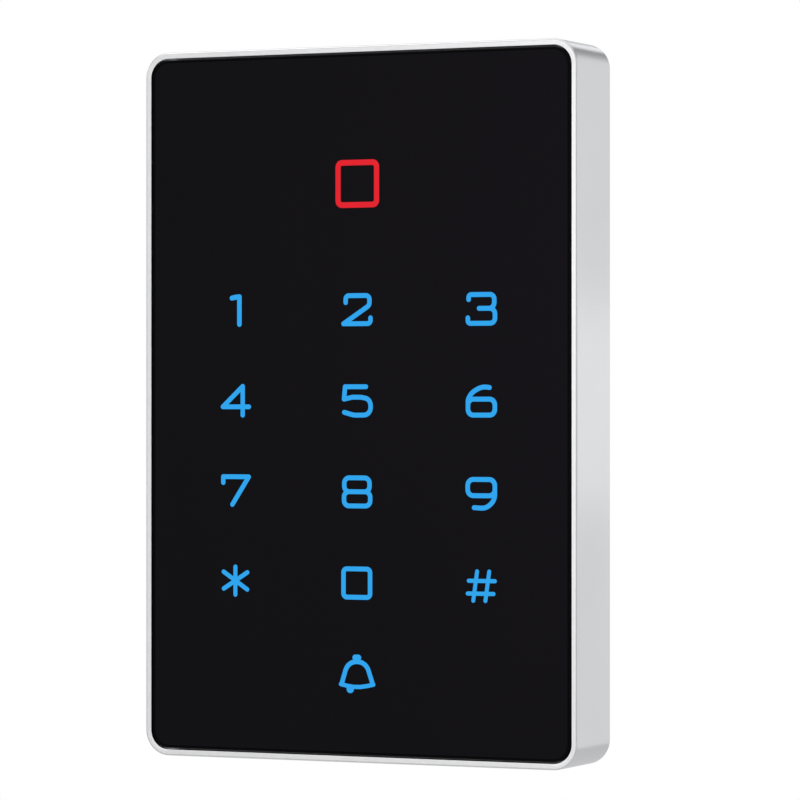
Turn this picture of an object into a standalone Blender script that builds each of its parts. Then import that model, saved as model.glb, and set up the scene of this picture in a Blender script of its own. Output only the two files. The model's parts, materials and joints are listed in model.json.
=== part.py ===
"""Keypad access reader: a flat touch keypad that hangs on a steel wall bracket.

X runs to the right, Y into the wall and Z up, in metres. The wall is the plane y = 0, and z = 0 is
half way up. The reader hooks onto two tongues at the bracket's top, swings in against the wall, and
is held by one captive screw that reaches up through its bottom wall into the bracket's flange.
"""

import math

import bmesh
import bpy

MM = 0.001

# Driving dimensions of the outside.
HEIGHT = 125.0 * MM
WIDTH = 83.2 * MM
CORNER_RADIUS = 4.5 * MM
HOUSING_DEPTH = 15.0 * MM
WALL_SETBACK = 1.0 * MM
LIP_WIDTH = 1.12 * MM

# Clearances.
GAP = 0.3 * MM
OVERCUT = 2.0 * MM

# Walls and layers, from the front backwards.
SIDE_WALL = 1.6 * MM
SHOULDER_WALL = 2.8 * MM
LEDGE_REACH = 4.6 * MM
GLASS_SET = 0.1 * MM
GLASS_THICK = 2.0 * MM
SEAL_THICK = 0.5 * MM
FILM_THICK = 0.25 * MM
LEDGE_THICK = 1.4 * MM
BOARD_STANDOFF = 1.1 * MM
BOARD_THICK = 1.2 * MM
REAR_SEAL_THICK = 1.2 * MM
COVER_THICK = 1.6 * MM
COVER_SETBACK = 0.5 * MM
PLATE_THICK = 1.5 * MM

# Levels along Y that follow from the layers.
REAR_Y = -WALL_SETBACK
FRONT_Y = REAR_Y - HOUSING_DEPTH
GLASS_FRONT = FRONT_Y + GLASS_SET
GLASS_BACK = GLASS_FRONT + GLASS_THICK
SEAL_FRONT = GLASS_BACK + GAP
SEAL_BACK = SEAL_FRONT + SEAL_THICK
FILM_BACK = SEAL_FRONT + FILM_THICK
LEDGE_FRONT = SEAL_BACK + GAP
LEDGE_BACK = LEDGE_FRONT + LEDGE_THICK
BOARD_FRONT = LEDGE_BACK + BOARD_STANDOFF
BOARD_BACK = BOARD_FRONT + BOARD_THICK
PARTS_Y = BOARD_BACK + GAP
LIGHT_FRONT = FILM_BACK + GAP
LIGHT_BACK = BOARD_FRONT - GAP
PLATE_FRONT = -PLATE_THICK
COVER_BACK = PLATE_FRONT - COVER_SETBACK
COVER_FRONT = COVER_BACK - COVER_THICK
REAR_SEAL_BACK = COVER_FRONT - GAP
REAR_SEAL_FRONT = REAR_SEAL_BACK - REAR_SEAL_THICK
SHOULDER_Y = REAR_SEAL_FRONT - GAP

# Keys: three columns and four rows, a call key below them and a status light above.
COLUMN_PITCH = 23.8 * MM
ROW_PITCH = 15.9 * MM
TOP_ROW_Z = 16.4 * MM
STATUS_Z = 38.3 * MM
STATUS_SIZE = 8.7 * MM
SPRING_RADIUS = 3.8 * MM
SPRING_WIRE = 0.5 * MM
KEY_CELL_RADIUS = 5.0 * MM

# Circuit board.
BOARD_WIDTH = 75.6 * MM
BOARD_BOTTOM = -51.7 * MM
BOARD_TOP = 53.5 * MM
BOARD_SCREW_X = 35.2 * MM
BOARD_SCREW_Z = 40.0 * MM
BAFFLE_WIDTH = 63.0 * MM

# Rear cover and its screws.
COVER_SCREW_X = 36.2 * MM
COVER_SCREW_Z = 57.1 * MM
PILOT_RADIUS = 1.15 * MM
SHANK_RADIUS = 0.85 * MM
CABLE_Z = -24.0 * MM
CABLE_BORE = 3.75 * MM

# Wall bracket, with its hook tongues and its bottom flange.
PLATE_WIDTH = 66.0 * MM
PLATE_HALF_HEIGHT = 55.6 * MM
TONGUE_X = 18.0 * MM
TONGUE_WIDTH = 8.0 * MM
TONGUE_ROOT_Z = 49.6 * MM
TONGUE_LENGTH = 5.6 * MM
TONGUE_THICK = 1.2 * MM
TONGUE_SLOPE = math.radians(42.0)
FLANGE_WIDTH = 12.0 * MM
FLANGE_THICK = 1.2 * MM
FLANGE_FRONT = -8.4 * MM

# Captive screw, vertical, and the boss that it runs in.
SCREW_Y = -5.6 * MM
SCREW_TRAVEL = 2.2 * MM
SCREW_HEAD_Z = -62.2 * MM
SCREW_HEAD_HEIGHT = 1.5 * MM
SCREW_HEAD_RADIUS = 2.6 * MM
SCREW_SHANK_RADIUS = 1.5 * MM
SCREW_TIP_Z = -56.0 * MM
WASHER_THICK = 0.5 * MM
COUNTERBORE_RADIUS = 2.9 * MM
COUNTERBORE_TOP = -57.4 * MM
BOSS_TOP = -56.4 * MM
BOSS_WIDTH = 14.4 * MM

# Tamper plunger, held in by the bracket while the reader is closed.
PLUNGER_X = -22.0 * MM
PLUNGER_Z = 10.0 * MM
PLUNGER_TRAVEL = 1.2 * MM
PLUNGER_STEM = 1.3 * MM
PLUNGER_COLLAR = 3.4 * MM

CORNER_STEPS = 7
ROUND_STEPS = 24
SMALL_STEPS = 16
SHARP_ANGLE = math.radians(32.0)

COLOURS = {
    "satin_housing": ((0.60, 0.60, 0.62), 0.32, 1.0),
    "black_glass": ((0.006, 0.007, 0.008), 0.08, 0.0),
    "black_rubber": ((0.02, 0.02, 0.02), 0.75, 0.0),
    "white_film": ((0.75, 0.76, 0.78), 0.45, 0.0),
    "white_plastic": ((0.80, 0.80, 0.78), 0.5, 0.0),
    "spring_steel": ((0.55, 0.55, 0.56), 0.28, 1.0),
    "green_board": ((0.015, 0.12, 0.05), 0.4, 0.0),
    "copper_wire": ((0.62, 0.28, 0.12), 0.3, 1.0),
    "chip_resin": ((0.02, 0.02, 0.022), 0.5, 0.0),
    "relay_blue": ((0.03, 0.10, 0.32), 0.4, 0.0),
    "can_metal": ((0.70, 0.70, 0.71), 0.25, 1.0),
    "black_plastic": ((0.018, 0.018, 0.019), 0.5, 0.0),
    "green_plastic": ((0.05, 0.32, 0.12), 0.45, 0.0),
    "red_plastic": ((0.45, 0.03, 0.03), 0.4, 0.0),
    "zinc_steel": ((0.52, 0.53, 0.54), 0.4, 1.0),
    "black_steel": ((0.03, 0.03, 0.032), 0.35, 1.0),
}


def clear_scene():
    """Remove every object that the scene starts with."""
    for obj in list(bpy.data.objects):
        bpy.data.objects.remove(obj)


def material(name):
    """The named material as a Principled surface, made once."""
    found = bpy.data.materials.get(name)
    if found:
        return found
    colour, roughness, metallic = COLOURS[name]
    made = bpy.data.materials.new(name)
    made.use_nodes = True
    surface = made.node_tree.nodes["Principled BSDF"]
    surface.inputs["Base Color"].default_value = (*colour, 1.0)
    surface.inputs["Roughness"].default_value = roughness
    surface.inputs["Metallic"].default_value = metallic
    made.diffuse_color = (*colour, 1.0)
    return made


def empty(name, place, parent=None):
    """A joint's frame: an empty at a place given in world coordinates."""
    made = bpy.data.objects.new(name, None)
    bpy.context.scene.collection.objects.link(made)
    made["place"] = place
    made.parent = parent
    origin = parent["place"] if parent else (0.0, 0.0, 0.0)
    made.location = [place[i] - origin[i] for i in range(3)]
    return made


def finish_mesh(name, shape):
    """Turn a bmesh into a linked object, faces pointing out."""
    bmesh.ops.recalc_face_normals(shape, faces=shape.faces)
    mesh = bpy.data.meshes.new(name)
    shape.to_mesh(mesh)
    shape.free()
    mesh.shade_smooth()
    mesh.set_sharp_from_angle(angle=SHARP_ANGLE)
    obj = bpy.data.objects.new(name, mesh)
    bpy.context.scene.collection.objects.link(obj)
    return obj


def piece(name, shape, colour, place, parent=None):
    """A finished sub-part whose mesh is given about its own place."""
    obj = finish_mesh(name, shape)
    obj.data.materials.append(material(colour))
    obj.parent = parent
    origin = parent["place"] if parent else (0.0, 0.0, 0.0)
    obj.location = [place[i] - origin[i] for i in range(3)]
    return obj


def combine(target, name, shape, operation):
    """Add or cut a helper solid, given about the target's own place."""
    tool = finish_mesh(name, shape)
    tool.parent = target
    tool.hide_render = True
    tool.display_type = "WIRE"
    modifier = target.modifiers.new(name, "BOOLEAN")
    modifier.operation = operation
    modifier.solver = "EXACT"
    modifier.object = tool


def add_rings(shape, rings, closed=False):
    """Skin a row of point rings, capped at its ends or closed on itself."""
    loops = [[shape.verts.new(point) for point in ring] for ring in rings]
    count = len(loops[0])
    pairs = list(zip(loops, loops[1:]))
    if closed:
        pairs.append((loops[-1], loops[0]))
    for first, second in pairs:
        for i in range(count):
            j = (i + 1) % count
            shape.faces.new((first[i], first[j], second[j], second[i]))
    if not closed:
        shape.faces.new(loops[0])
        shape.faces.new(reversed(loops[-1]))


def rounded_ring(width, height, radius, y, centre=(0.0, 0.0), steps=CORNER_STEPS):
    """A rounded rectangle in the XZ plane at depth y."""
    radius = max(radius, 0.4 * MM)
    corners = ((1, 1), (-1, 1), (-1, -1), (1, -1))
    points = []
    for turn, (side_x, side_z) in enumerate(corners):
        corner_x = centre[0] + side_x * (width / 2 - radius)
        corner_z = centre[1] + side_z * (height / 2 - radius)
        for step in range(steps + 1):
            angle = math.pi / 2 * (turn + step / steps)
            x = corner_x + radius * math.cos(angle)
            z = corner_z + radius * math.sin(angle)
            points.append((x, y, z))
    return points


def housing_ring(inset, y):
    """The housing's outline at depth y, drawn in by the inset."""
    width = WIDTH - 2 * inset
    height = HEIGHT - 2 * inset
    return rounded_ring(width, height, CORNER_RADIUS - inset, y)


def add_plate(shape, width, height, radius, front, back, centre=(0.0, 0.0), steps=CORNER_STEPS):
    """A flat rounded plate between two depths."""
    ends = [rounded_ring(width, height, radius, y, centre, steps) for y in (front, back)]
    add_rings(shape, ends)


def add_box(shape, low, high):
    """A plain block between two corners."""
    ends = []
    for y in (low[1], high[1]):
        ring = ((low[0], y, low[2]), (high[0], y, low[2]), (high[0], y, high[2]), (low[0], y, high[2]))
        ends.append(ring)
    add_rings(shape, ends)


def circle(radius, level, centre, axis, steps):
    """A ring of points about Y or Z, at a level along that axis."""
    points = []
    for step in range(steps):
        angle = 2 * math.pi * step / steps
        a = radius * math.cos(angle)
        b = radius * math.sin(angle)
        if axis == "Y":
            points.append((centre[0] + a, level, centre[1] + b))
        else:
            points.append((centre[0] + a, centre[1] + b, level))
    return points


def add_turned(shape, profile, centre=(0.0, 0.0), axis="Y", steps=ROUND_STEPS, closed=False):
    """A turned solid from (radius, level) pairs, closed on itself for a tube."""
    rings = [circle(radius, level, centre, axis, steps) for radius, level in profile]
    add_rings(shape, rings, closed)


def add_rod(shape, radius, start, end, centre=(0.0, 0.0), axis="Y", steps=SMALL_STEPS):
    """A plain round rod or hole cutter."""
    add_turned(shape, ((radius, start), (radius, end)), centre, axis, steps)


def mirrored(x, z):
    """The four places at plus and minus x and z, from the top right round."""
    return ((x, z), (-x, z), (-x, -z), (x, -z))


def key_places():
    """Centres of the twelve digit keys and of the call key below them."""
    places = []
    for row in range(4):
        for column in (-1, 0, 1):
            places.append((column * COLUMN_PITCH, TOP_ROW_Z - row * ROW_PITCH))
    places.append((0.0, TOP_ROW_Z - 4 * ROW_PITCH))
    return places


def make_housing(reader):
    """The metal frame: front lip, ledge under the glass, walls, screw columns and bottom boss."""
    origin = (0.0, 0.0, 0.0)
    shape = bmesh.new()
    profile = (
        (0.2 * MM, REAR_Y),
        (0.0, REAR_Y - 0.2 * MM),
        (0.0, FRONT_Y + 0.35 * MM),
        (0.1 * MM, FRONT_Y + 0.1 * MM),
        (0.35 * MM, FRONT_Y),
        (LIP_WIDTH - 0.12 * MM, FRONT_Y),
        (LIP_WIDTH, FRONT_Y + 0.12 * MM),
        (LIP_WIDTH, LEDGE_FRONT),
        (LEDGE_REACH, LEDGE_FRONT),
        (LEDGE_REACH, LEDGE_BACK),
        (SHOULDER_WALL, LEDGE_BACK),
        (SHOULDER_WALL, SHOULDER_Y),
        (SIDE_WALL, SHOULDER_Y),
        (SIDE_WALL, REAR_Y),
    )
    add_rings(shape, [housing_ring(inset, y) for inset, y in profile], closed=True)
    frame = piece("housing_frame", shape, "satin_housing", origin, reader)

    columns = bmesh.new()
    for place in mirrored(COVER_SCREW_X, COVER_SCREW_Z):
        outside = (
            (3.0 * MM, LEDGE_BACK - 0.6 * MM),
            (3.0 * MM, SHOULDER_Y),
            (1.95 * MM, SHOULDER_Y),
            (1.95 * MM, REAR_SEAL_BACK),
        )
        add_turned(columns, outside, place)
    combine(frame, "add_cover_columns", columns, "UNION")

    bosses = bmesh.new()
    for place in mirrored(BOARD_SCREW_X, BOARD_SCREW_Z):
        add_rod(bosses, 2.6 * MM, LEDGE_FRONT + 0.2 * MM, BOARD_FRONT - GAP, place, steps=ROUND_STEPS)
    combine(frame, "add_board_bosses", bosses, "UNION")

    boss = bmesh.new()
    bottom = -HEIGHT / 2 + SIDE_WALL / 2
    half = BOSS_WIDTH / 2
    add_box(boss, (-half, LEDGE_BACK - 0.5 * MM, bottom), (half, REAR_Y - 0.3 * MM, BOSS_TOP))
    combine(frame, "add_screw_boss", boss, "UNION")

    holes = bmesh.new()
    for place in mirrored(COVER_SCREW_X, COVER_SCREW_Z):
        add_rod(holes, PILOT_RADIUS, LEDGE_BACK + 0.8 * MM, COVER_FRONT, place)
    for place in mirrored(BOARD_SCREW_X, BOARD_SCREW_Z):
        add_rod(holes, PILOT_RADIUS, LEDGE_FRONT + 0.6 * MM, BOARD_FRONT, place)
    combine(frame, "cut_pilot_holes", holes, "DIFFERENCE")

    bore = bmesh.new()
    steps = (
        (COUNTERBORE_RADIUS, -HEIGHT / 2 - OVERCUT),
        (COUNTERBORE_RADIUS, COUNTERBORE_TOP),
        (SCREW_SHANK_RADIUS + GAP, COUNTERBORE_TOP),
        (SCREW_SHANK_RADIUS + GAP, BOSS_TOP + OVERCUT),
    )
    add_turned(bore, steps, (0.0, SCREW_Y), "Z")
    for side in (-1, 1):
        add_rod(bore, 0.9 * MM, -HEIGHT / 2 - OVERCUT, -HEIGHT / 2 + 4.0 * MM, (side * 16.0 * MM, SCREW_Y), "Z")
    combine(frame, "cut_screw_bore", bore, "DIFFERENCE")


def make_front(reader):
    """Glass, the ring that bonds it, the printed film, the light baffle and the status light."""
    origin = (0.0, 0.0, 0.0)
    edge = LIP_WIDTH + 0.25 * MM

    shape = bmesh.new()
    profile = ((edge + 0.2 * MM, GLASS_FRONT), (edge, GLASS_FRONT + 0.2 * MM), (edge, GLASS_BACK))
    add_rings(shape, [housing_ring(inset, y) for inset, y in profile])
    piece("touch_glass", shape, "black_glass", origin, reader)

    shape = bmesh.new()
    profile = (
        (edge + 0.3 * MM, SEAL_FRONT),
        (LEDGE_REACH, SEAL_FRONT),
        (LEDGE_REACH, SEAL_BACK),
        (edge + 0.3 * MM, SEAL_BACK),
    )
    add_rings(shape, [housing_ring(inset, y) for inset, y in profile], closed=True)
    piece("glass_seal", shape, "black_rubber", origin, reader)

    shape = bmesh.new()
    film_edge = LEDGE_REACH + 0.5 * MM
    add_plate(shape, WIDTH - 2 * film_edge, HEIGHT - 2 * film_edge, 1.0 * MM, SEAL_FRONT, FILM_BACK, steps=3)
    piece("icon_film", shape, "white_film", origin, reader)

    shape = bmesh.new()
    low = key_places()[-1][1] - KEY_CELL_RADIUS - 0.6 * MM
    high = STATUS_Z + STATUS_SIZE
    middle = (0.0, (low + high) / 2)
    add_plate(shape, BAFFLE_WIDTH, high - low, 3.0 * MM, LIGHT_FRONT, LIGHT_BACK, middle, 4)
    baffle = piece("light_baffle", shape, "white_plastic", origin, reader)
    cells = bmesh.new()
    for place in key_places():
        add_rod(cells, KEY_CELL_RADIUS, LIGHT_FRONT - OVERCUT, LIGHT_BACK + OVERCUT, place)
    window = STATUS_SIZE + 1.8 * MM
    add_plate(cells, window, window, 1.8 * MM, LIGHT_FRONT - OVERCUT, LIGHT_BACK + OVERCUT, (0.0, STATUS_Z), 4)
    combine(baffle, "cut_light_cells", cells, "DIFFERENCE")

    shape = bmesh.new()
    guide_back = LIGHT_BACK - 0.9 * MM
    guide = (
        rounded_ring(STATUS_SIZE, STATUS_SIZE, 1.4 * MM, LIGHT_FRONT, steps=4),
        rounded_ring(STATUS_SIZE, STATUS_SIZE, 1.4 * MM, guide_back - 0.5 * MM, steps=4),
        rounded_ring(STATUS_SIZE - 2.0 * MM, STATUS_SIZE - 2.0 * MM, 0.8 * MM, guide_back, steps=4),
    )
    add_rings(shape, guide)
    piece("status_light_guide", shape, "red_plastic", (0.0, 0.0, STATUS_Z), reader)


def make_touch_springs(reader):
    """One sleeve for each wound touch spring, from the board up to the film."""
    inside = SPRING_RADIUS - SPRING_WIRE
    for number, (x, z) in enumerate(key_places(), 1):
        shape = bmesh.new()
        profile = (
            (SPRING_RADIUS, LIGHT_FRONT),
            (SPRING_RADIUS, LIGHT_BACK),
            (inside, LIGHT_BACK),
            (inside, LIGHT_FRONT),
        )
        add_turned(shape, profile, closed=True, steps=SMALL_STEPS)
        piece(f"touch_spring_{number:02d}", shape, "spring_steel", (x, 0.0, z), reader)


def make_board(reader):
    """The circuit board with the light-emitting diodes soldered to its front."""
    shape = bmesh.new()
    height = BOARD_TOP - BOARD_BOTTOM
    middle = (0.0, (BOARD_TOP + BOARD_BOTTOM) / 2)
    add_plate(shape, BOARD_WIDTH, height, 1.5 * MM, BOARD_FRONT, BOARD_BACK, middle, 3)
    board = piece("main_board", shape, "green_board", (0.0, 0.0, 0.0), reader)

    diodes = bmesh.new()
    half = 1.3 * MM
    for x, z in key_places() + [(0.0, STATUS_Z)]:
        low = (x - half, BOARD_FRONT - 0.7 * MM, z - half)
        add_box(diodes, low, (x + half, BOARD_FRONT + 0.2 * MM, z + half))
    combine(board, "add_light_diodes", diodes, "UNION")

    holes = bmesh.new()
    for place in mirrored(BOARD_SCREW_X, BOARD_SCREW_Z):
        add_rod(holes, PILOT_RADIUS, BOARD_FRONT - OVERCUT, BOARD_BACK + OVERCUT, place)
    combine(board, "cut_screw_holes", holes, "DIFFERENCE")


def make_antenna(reader):
    """The wound loop that reads cards, as one flat ring on the board's back."""
    shape = bmesh.new()
    width = 64.0 * MM
    height = 96.0 * MM
    band = 2.2 * MM
    back = PARTS_Y + 0.9 * MM
    rings = []
    for inset, y in ((0.0, PARTS_Y), (0.0, back), (band, back), (band, PARTS_Y)):
        rings.append(rounded_ring(width - 2 * inset, height - 2 * inset, 5.0 * MM - inset, y, steps=5))
    add_rings(shape, rings, closed=True)
    piece("rfid_antenna", shape, "copper_wire", (0.0, 0.0, 0.0), reader)


def make_package(reader, name, colour, place, size, chamfer):
    """A moulded component: a block on the board's back with a chamfered top."""
    width, height, tall = size
    shape = bmesh.new()
    rings = (
        rounded_ring(width, height, 0.4 * MM, 0.0, steps=1),
        rounded_ring(width, height, 0.4 * MM, tall - chamfer, steps=1),
        rounded_ring(width - 2 * chamfer, height - 2 * chamfer, 0.4 * MM, tall, steps=1),
    )
    add_rings(shape, rings)
    return piece(name, shape, colour, (place[0], PARTS_Y, place[1]), reader)


def make_can(reader, name, colour, place, profile):
    """A round component on the board's back."""
    shape = bmesh.new()
    add_turned(shape, profile, steps=SMALL_STEPS)
    return piece(name, shape, colour, (place[0], PARTS_Y, place[1]), reader)


def make_components(reader):
    """What is soldered to the board's back."""
    packages = (
        ("processor_chip", "chip_resin", (8.0, 24.0), (10.0, 10.0, 1.4), 0.25),
        ("touch_chip", "chip_resin", (-6.0, 8.0), (7.0, 7.0, 0.9), 0.15),
        ("rfid_chip", "chip_resin", (20.0, 6.0), (5.0, 5.0, 0.9), 0.15),
        ("voltage_regulator", "chip_resin", (10.0, 9.0), (6.5, 6.1, 2.2), 0.3),
        ("crystal", "can_metal", (-4.0, 24.0), (5.0, 3.2, 1.1), 0.3),
        ("supply_inductor", "chip_resin", (20.0, -10.0), (6.0, 6.0, 3.0), 0.6),
        ("output_relay", "relay_blue", (16.0, -37.0), (15.0, 10.0, 4.6), 0.35),
    )
    for name, colour, place, size, chamfer in packages:
        place = [value * MM for value in place]
        size = [value * MM for value in size]
        make_package(reader, name, colour, place, size, chamfer * MM)

    can = (
        (3.4 * MM, 0.0),
        (3.4 * MM, 0.8 * MM),
        (3.15 * MM, 0.9 * MM),
        (3.15 * MM, 1.3 * MM),
        (2.95 * MM, 1.5 * MM),
        (3.15 * MM, 1.7 * MM),
        (3.15 * MM, 4.4 * MM),
        (2.95 * MM, 4.6 * MM),
    )
    make_can(reader, "supply_capacitor_1", "can_metal", (20.0 * MM, -20.0 * MM), can)
    make_can(reader, "supply_capacitor_2", "can_metal", (-16.0 * MM, -18.0 * MM), can)

    sounder = ((4.6 * MM, 0.0), (4.6 * MM, 4.0 * MM), (4.3 * MM, 4.3 * MM))
    buzzer = make_can(reader, "buzzer", "black_plastic", (-16.0 * MM, -37.0 * MM), sounder)
    hole = bmesh.new()
    add_rod(hole, 0.9 * MM, 3.0 * MM, 4.3 * MM + OVERCUT)
    combine(buzzer, "cut_sound_hole", hole, "DIFFERENCE")

    make_wire_header(reader)


def make_wire_header(reader):
    """Ten-way terminal block whose wire entries face down towards the cable outlet."""
    ways = 10
    pitch = 2.2 * MM
    width = ways * pitch + 0.8 * MM
    header = make_package(
        reader, "wire_header", "green_plastic", (0.0, -8.0 * MM), (width, 6.4 * MM, 4.6 * MM), 0.4 * MM
    )
    mouths = bmesh.new()
    for way in range(ways):
        x = (way - (ways - 1) / 2) * pitch
        add_box(mouths, (x - 0.7 * MM, 1.0 * MM, -6.0 * MM), (x + 0.7 * MM, 3.0 * MM, -0.6 * MM))
    combine(header, "cut_wire_mouths", mouths, "DIFFERENCE")


def make_tamper(reader, slide):
    """The tamper switch, its spring, its plunger and the bushing that the plunger runs in."""
    half = 1.8 * MM
    switch_top = PARTS_Y + 1.6 * MM
    shape = bmesh.new()
    add_box(shape, (-half, 0.0, -half), (half, switch_top - PARTS_Y, half))
    piece("tamper_switch", shape, "chip_resin", (PLUNGER_X, PARTS_Y, PLUNGER_Z), reader)

    collar_back = COVER_FRONT - GAP - PLUNGER_TRAVEL
    collar_front = collar_back - 0.9 * MM
    spring_back = collar_front - GAP
    shape = bmesh.new()
    outer = PLUNGER_COLLAR
    inner = PLUNGER_COLLAR - 0.6 * MM
    profile = ((outer, PARTS_Y), (outer, spring_back), (inner, spring_back), (inner, PARTS_Y))
    add_turned(shape, profile, steps=SMALL_STEPS, closed=True)
    piece("tamper_spring", shape, "spring_steel", (PLUNGER_X, 0.0, PLUNGER_Z), reader)

    shape = bmesh.new()
    tip = PLATE_FRONT - GAP
    profile = (
        (PLUNGER_STEM, switch_top + GAP - tip),
        (PLUNGER_STEM, collar_front - tip),
        (PLUNGER_COLLAR, collar_front - tip),
        (PLUNGER_COLLAR, collar_back - tip),
        (PLUNGER_STEM, collar_back - tip),
        (PLUNGER_STEM, -0.5 * MM),
        (0.8 * MM, 0.0),
    )
    add_turned(shape, profile, steps=SMALL_STEPS)
    piece("tamper_plunger", shape, "red_plastic", (PLUNGER_X, tip, PLUNGER_Z), slide)

    shape = bmesh.new()
    outer = PLUNGER_STEM + GAP + 1.3 * MM
    inner = PLUNGER_STEM + GAP
    front = COVER_FRONT + 0.1 * MM
    back = COVER_BACK - 0.1 * MM
    profile = ((outer, front), (outer, back), (inner, back), (inner, front))
    add_turned(shape, profile, steps=SMALL_STEPS, closed=True)
    piece("plunger_bushing", shape, "black_rubber", (PLUNGER_X, 0.0, PLUNGER_Z), reader)


def make_rear_cover(reader):
    """The moulded back with pockets for the bracket's tongues and flange."""
    shape = bmesh.new()
    edge = SIDE_WALL + GAP
    add_rings(shape, [housing_ring(edge, y) for y in (COVER_FRONT, COVER_BACK)])
    cover = piece("rear_cover", shape, "black_plastic", (0.0, 0.0, 0.0), reader)

    wall = 1.0 * MM
    slot_half = TONGUE_WIDTH / 2 + 0.6 * MM
    slot_low = TONGUE_ROOT_Z - 1.2 * MM
    slot_high = TONGUE_ROOT_Z + 5.6 * MM
    slot_front = -6.0 * MM
    inside = COVER_FRONT + 0.6 * MM

    hoods = bmesh.new()
    for side in (-1, 1):
        x = side * TONGUE_X
        low = (x - slot_half - wall, slot_front - wall, slot_low - wall)
        add_box(hoods, low, (x + slot_half + wall, inside, slot_high + wall))
    pocket_half = BOSS_WIDTH / 2 + GAP
    pocket_front = FLANGE_FRONT - GAP
    pocket_top = SCREW_TIP_Z + SCREW_TRAVEL + 0.6 * MM
    low = (-pocket_half - wall, pocket_front - wall, BOSS_TOP + GAP)
    add_box(hoods, low, (pocket_half + wall, inside, pocket_top + wall))
    combine(cover, "add_hoods", hoods, "UNION")

    openings = bmesh.new()
    for side in (-1, 1):
        x = side * TONGUE_X
        low = (x - slot_half, slot_front, slot_low)
        add_box(openings, low, (x + slot_half, COVER_BACK + OVERCUT, slot_high))
    low = (-pocket_half, pocket_front, -HEIGHT / 2)
    add_box(openings, low, (pocket_half, COVER_BACK + OVERCUT, pocket_top))
    combine(cover, "cut_pockets", openings, "DIFFERENCE")

    holes = bmesh.new()
    for place in mirrored(COVER_SCREW_X, COVER_SCREW_Z):
        profile = (
            (SHANK_RADIUS + 0.4 * MM, COVER_FRONT - OVERCUT),
            (SHANK_RADIUS + 0.4 * MM, COVER_BACK - 0.9 * MM),
            (2.5 * MM, COVER_BACK - 0.9 * MM),
            (2.5 * MM, COVER_BACK + OVERCUT),
        )
        add_turned(holes, profile, place, steps=SMALL_STEPS)
    bushing_hole = PLUNGER_STEM + 2 * GAP + 1.3 * MM
    add_rod(holes, bushing_hole, COVER_FRONT - OVERCUT, COVER_BACK + OVERCUT, (PLUNGER_X, PLUNGER_Z))
    profile = (
        (5.6 * MM, COVER_FRONT - OVERCUT),
        (5.6 * MM, COVER_BACK - 0.7 * MM),
        (7.6 * MM, COVER_BACK - 0.7 * MM),
        (7.6 * MM, COVER_BACK + OVERCUT),
    )
    add_turned(holes, profile, (0.0, CABLE_Z))
    combine(cover, "cut_cover_holes", holes, "DIFFERENCE")

    shape = bmesh.new()
    band = 1.2 * MM
    profile = (
        (edge, REAR_SEAL_FRONT),
        (edge, REAR_SEAL_BACK),
        (edge + band, REAR_SEAL_BACK),
        (edge + band, REAR_SEAL_FRONT),
    )
    add_rings(shape, [housing_ring(inset, y) for inset, y in profile], closed=True)
    seal = piece("rear_seal", shape, "black_rubber", (0.0, 0.0, 0.0), reader)
    break_cut = bmesh.new()
    half = BOSS_WIDTH / 2 + GAP
    add_box(break_cut, (-half, SHOULDER_Y, -HEIGHT / 2), (half, COVER_FRONT, BOSS_TOP))
    combine(seal, "cut_boss_break", break_cut, "DIFFERENCE")


def make_grommet(reader):
    """Rubber bush round the cable outlet in the rear cover."""
    shape = bmesh.new()
    neck = 5.3 * MM
    front = COVER_FRONT - GAP
    profile = (
        (CABLE_BORE, front - 1.2 * MM),
        (6.6 * MM, front - 1.2 * MM),
        (7.0 * MM, front - 0.9 * MM),
        (7.0 * MM, front),
        (neck, front),
        (neck, COVER_BACK - 0.4 * MM),
        (7.3 * MM, COVER_BACK - 0.4 * MM),
        (7.1 * MM, COVER_BACK),
        (CABLE_BORE + 0.6 * MM, COVER_BACK),
        (CABLE_BORE, COVER_BACK - 0.5 * MM),
    )
    add_turned(shape, profile, closed=True)
    piece("cable_grommet", shape, "black_rubber", (0.0, 0.0, CABLE_Z), reader)


def add_cross_screw(shape, head_front, head_back, shank_end, head_radius):
    """A pan-head screw along Y whose head faces +Y."""
    profile = (
        (SHANK_RADIUS * 0.5, shank_end),
        (SHANK_RADIUS, shank_end + 0.5 * MM),
        (SHANK_RADIUS, head_front),
        (head_radius, head_front),
        (head_radius, head_back - 0.25 * MM),
        (head_radius * 0.8, head_back),
    )
    add_turned(shape, profile, steps=SMALL_STEPS)


def cut_cross(screw, head_back, reach, depth):
    """The driver's cross in a screw's head."""
    cross = bmesh.new()
    half = 0.22 * MM
    add_box(cross, (-reach, head_back - depth, -half), (reach, head_back + OVERCUT, half))
    combine(screw, screw.name + "_cross_a", cross, "DIFFERENCE")
    cross = bmesh.new()
    add_box(cross, (-half, head_back - depth, -reach), (half, head_back + OVERCUT, reach))
    combine(screw, screw.name + "_cross_b", cross, "DIFFERENCE")


def make_screws(reader):
    """Four screws through the rear cover and four that hold the board."""
    head_front = COVER_BACK - 0.9 * MM + GAP
    head_back = COVER_BACK + 0.1 * MM
    for number, (x, z) in enumerate(mirrored(COVER_SCREW_X, COVER_SCREW_Z), 1):
        shape = bmesh.new()
        add_cross_screw(shape, head_front - head_back, 0.0, LEDGE_BACK + 1.6 * MM - head_back, 2.2 * MM)
        screw = piece(f"cover_screw_{number}", shape, "black_steel", (x, head_back, z), reader)
        cut_cross(screw, 0.0, 1.2 * MM, 0.4 * MM)

    head_front = BOARD_BACK + GAP
    head_back = head_front + 1.2 * MM
    for number, (x, z) in enumerate(mirrored(BOARD_SCREW_X, BOARD_SCREW_Z), 1):
        shape = bmesh.new()
        add_cross_screw(shape, head_front - head_back, 0.0, LEDGE_FRONT + 0.9 * MM - head_back, 2.0 * MM)
        screw = piece(f"board_screw_{number}", shape, "zinc_steel", (x, head_back, z), reader)
        cut_cross(screw, 0.0, 1.1 * MM, 0.6 * MM)


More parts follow.
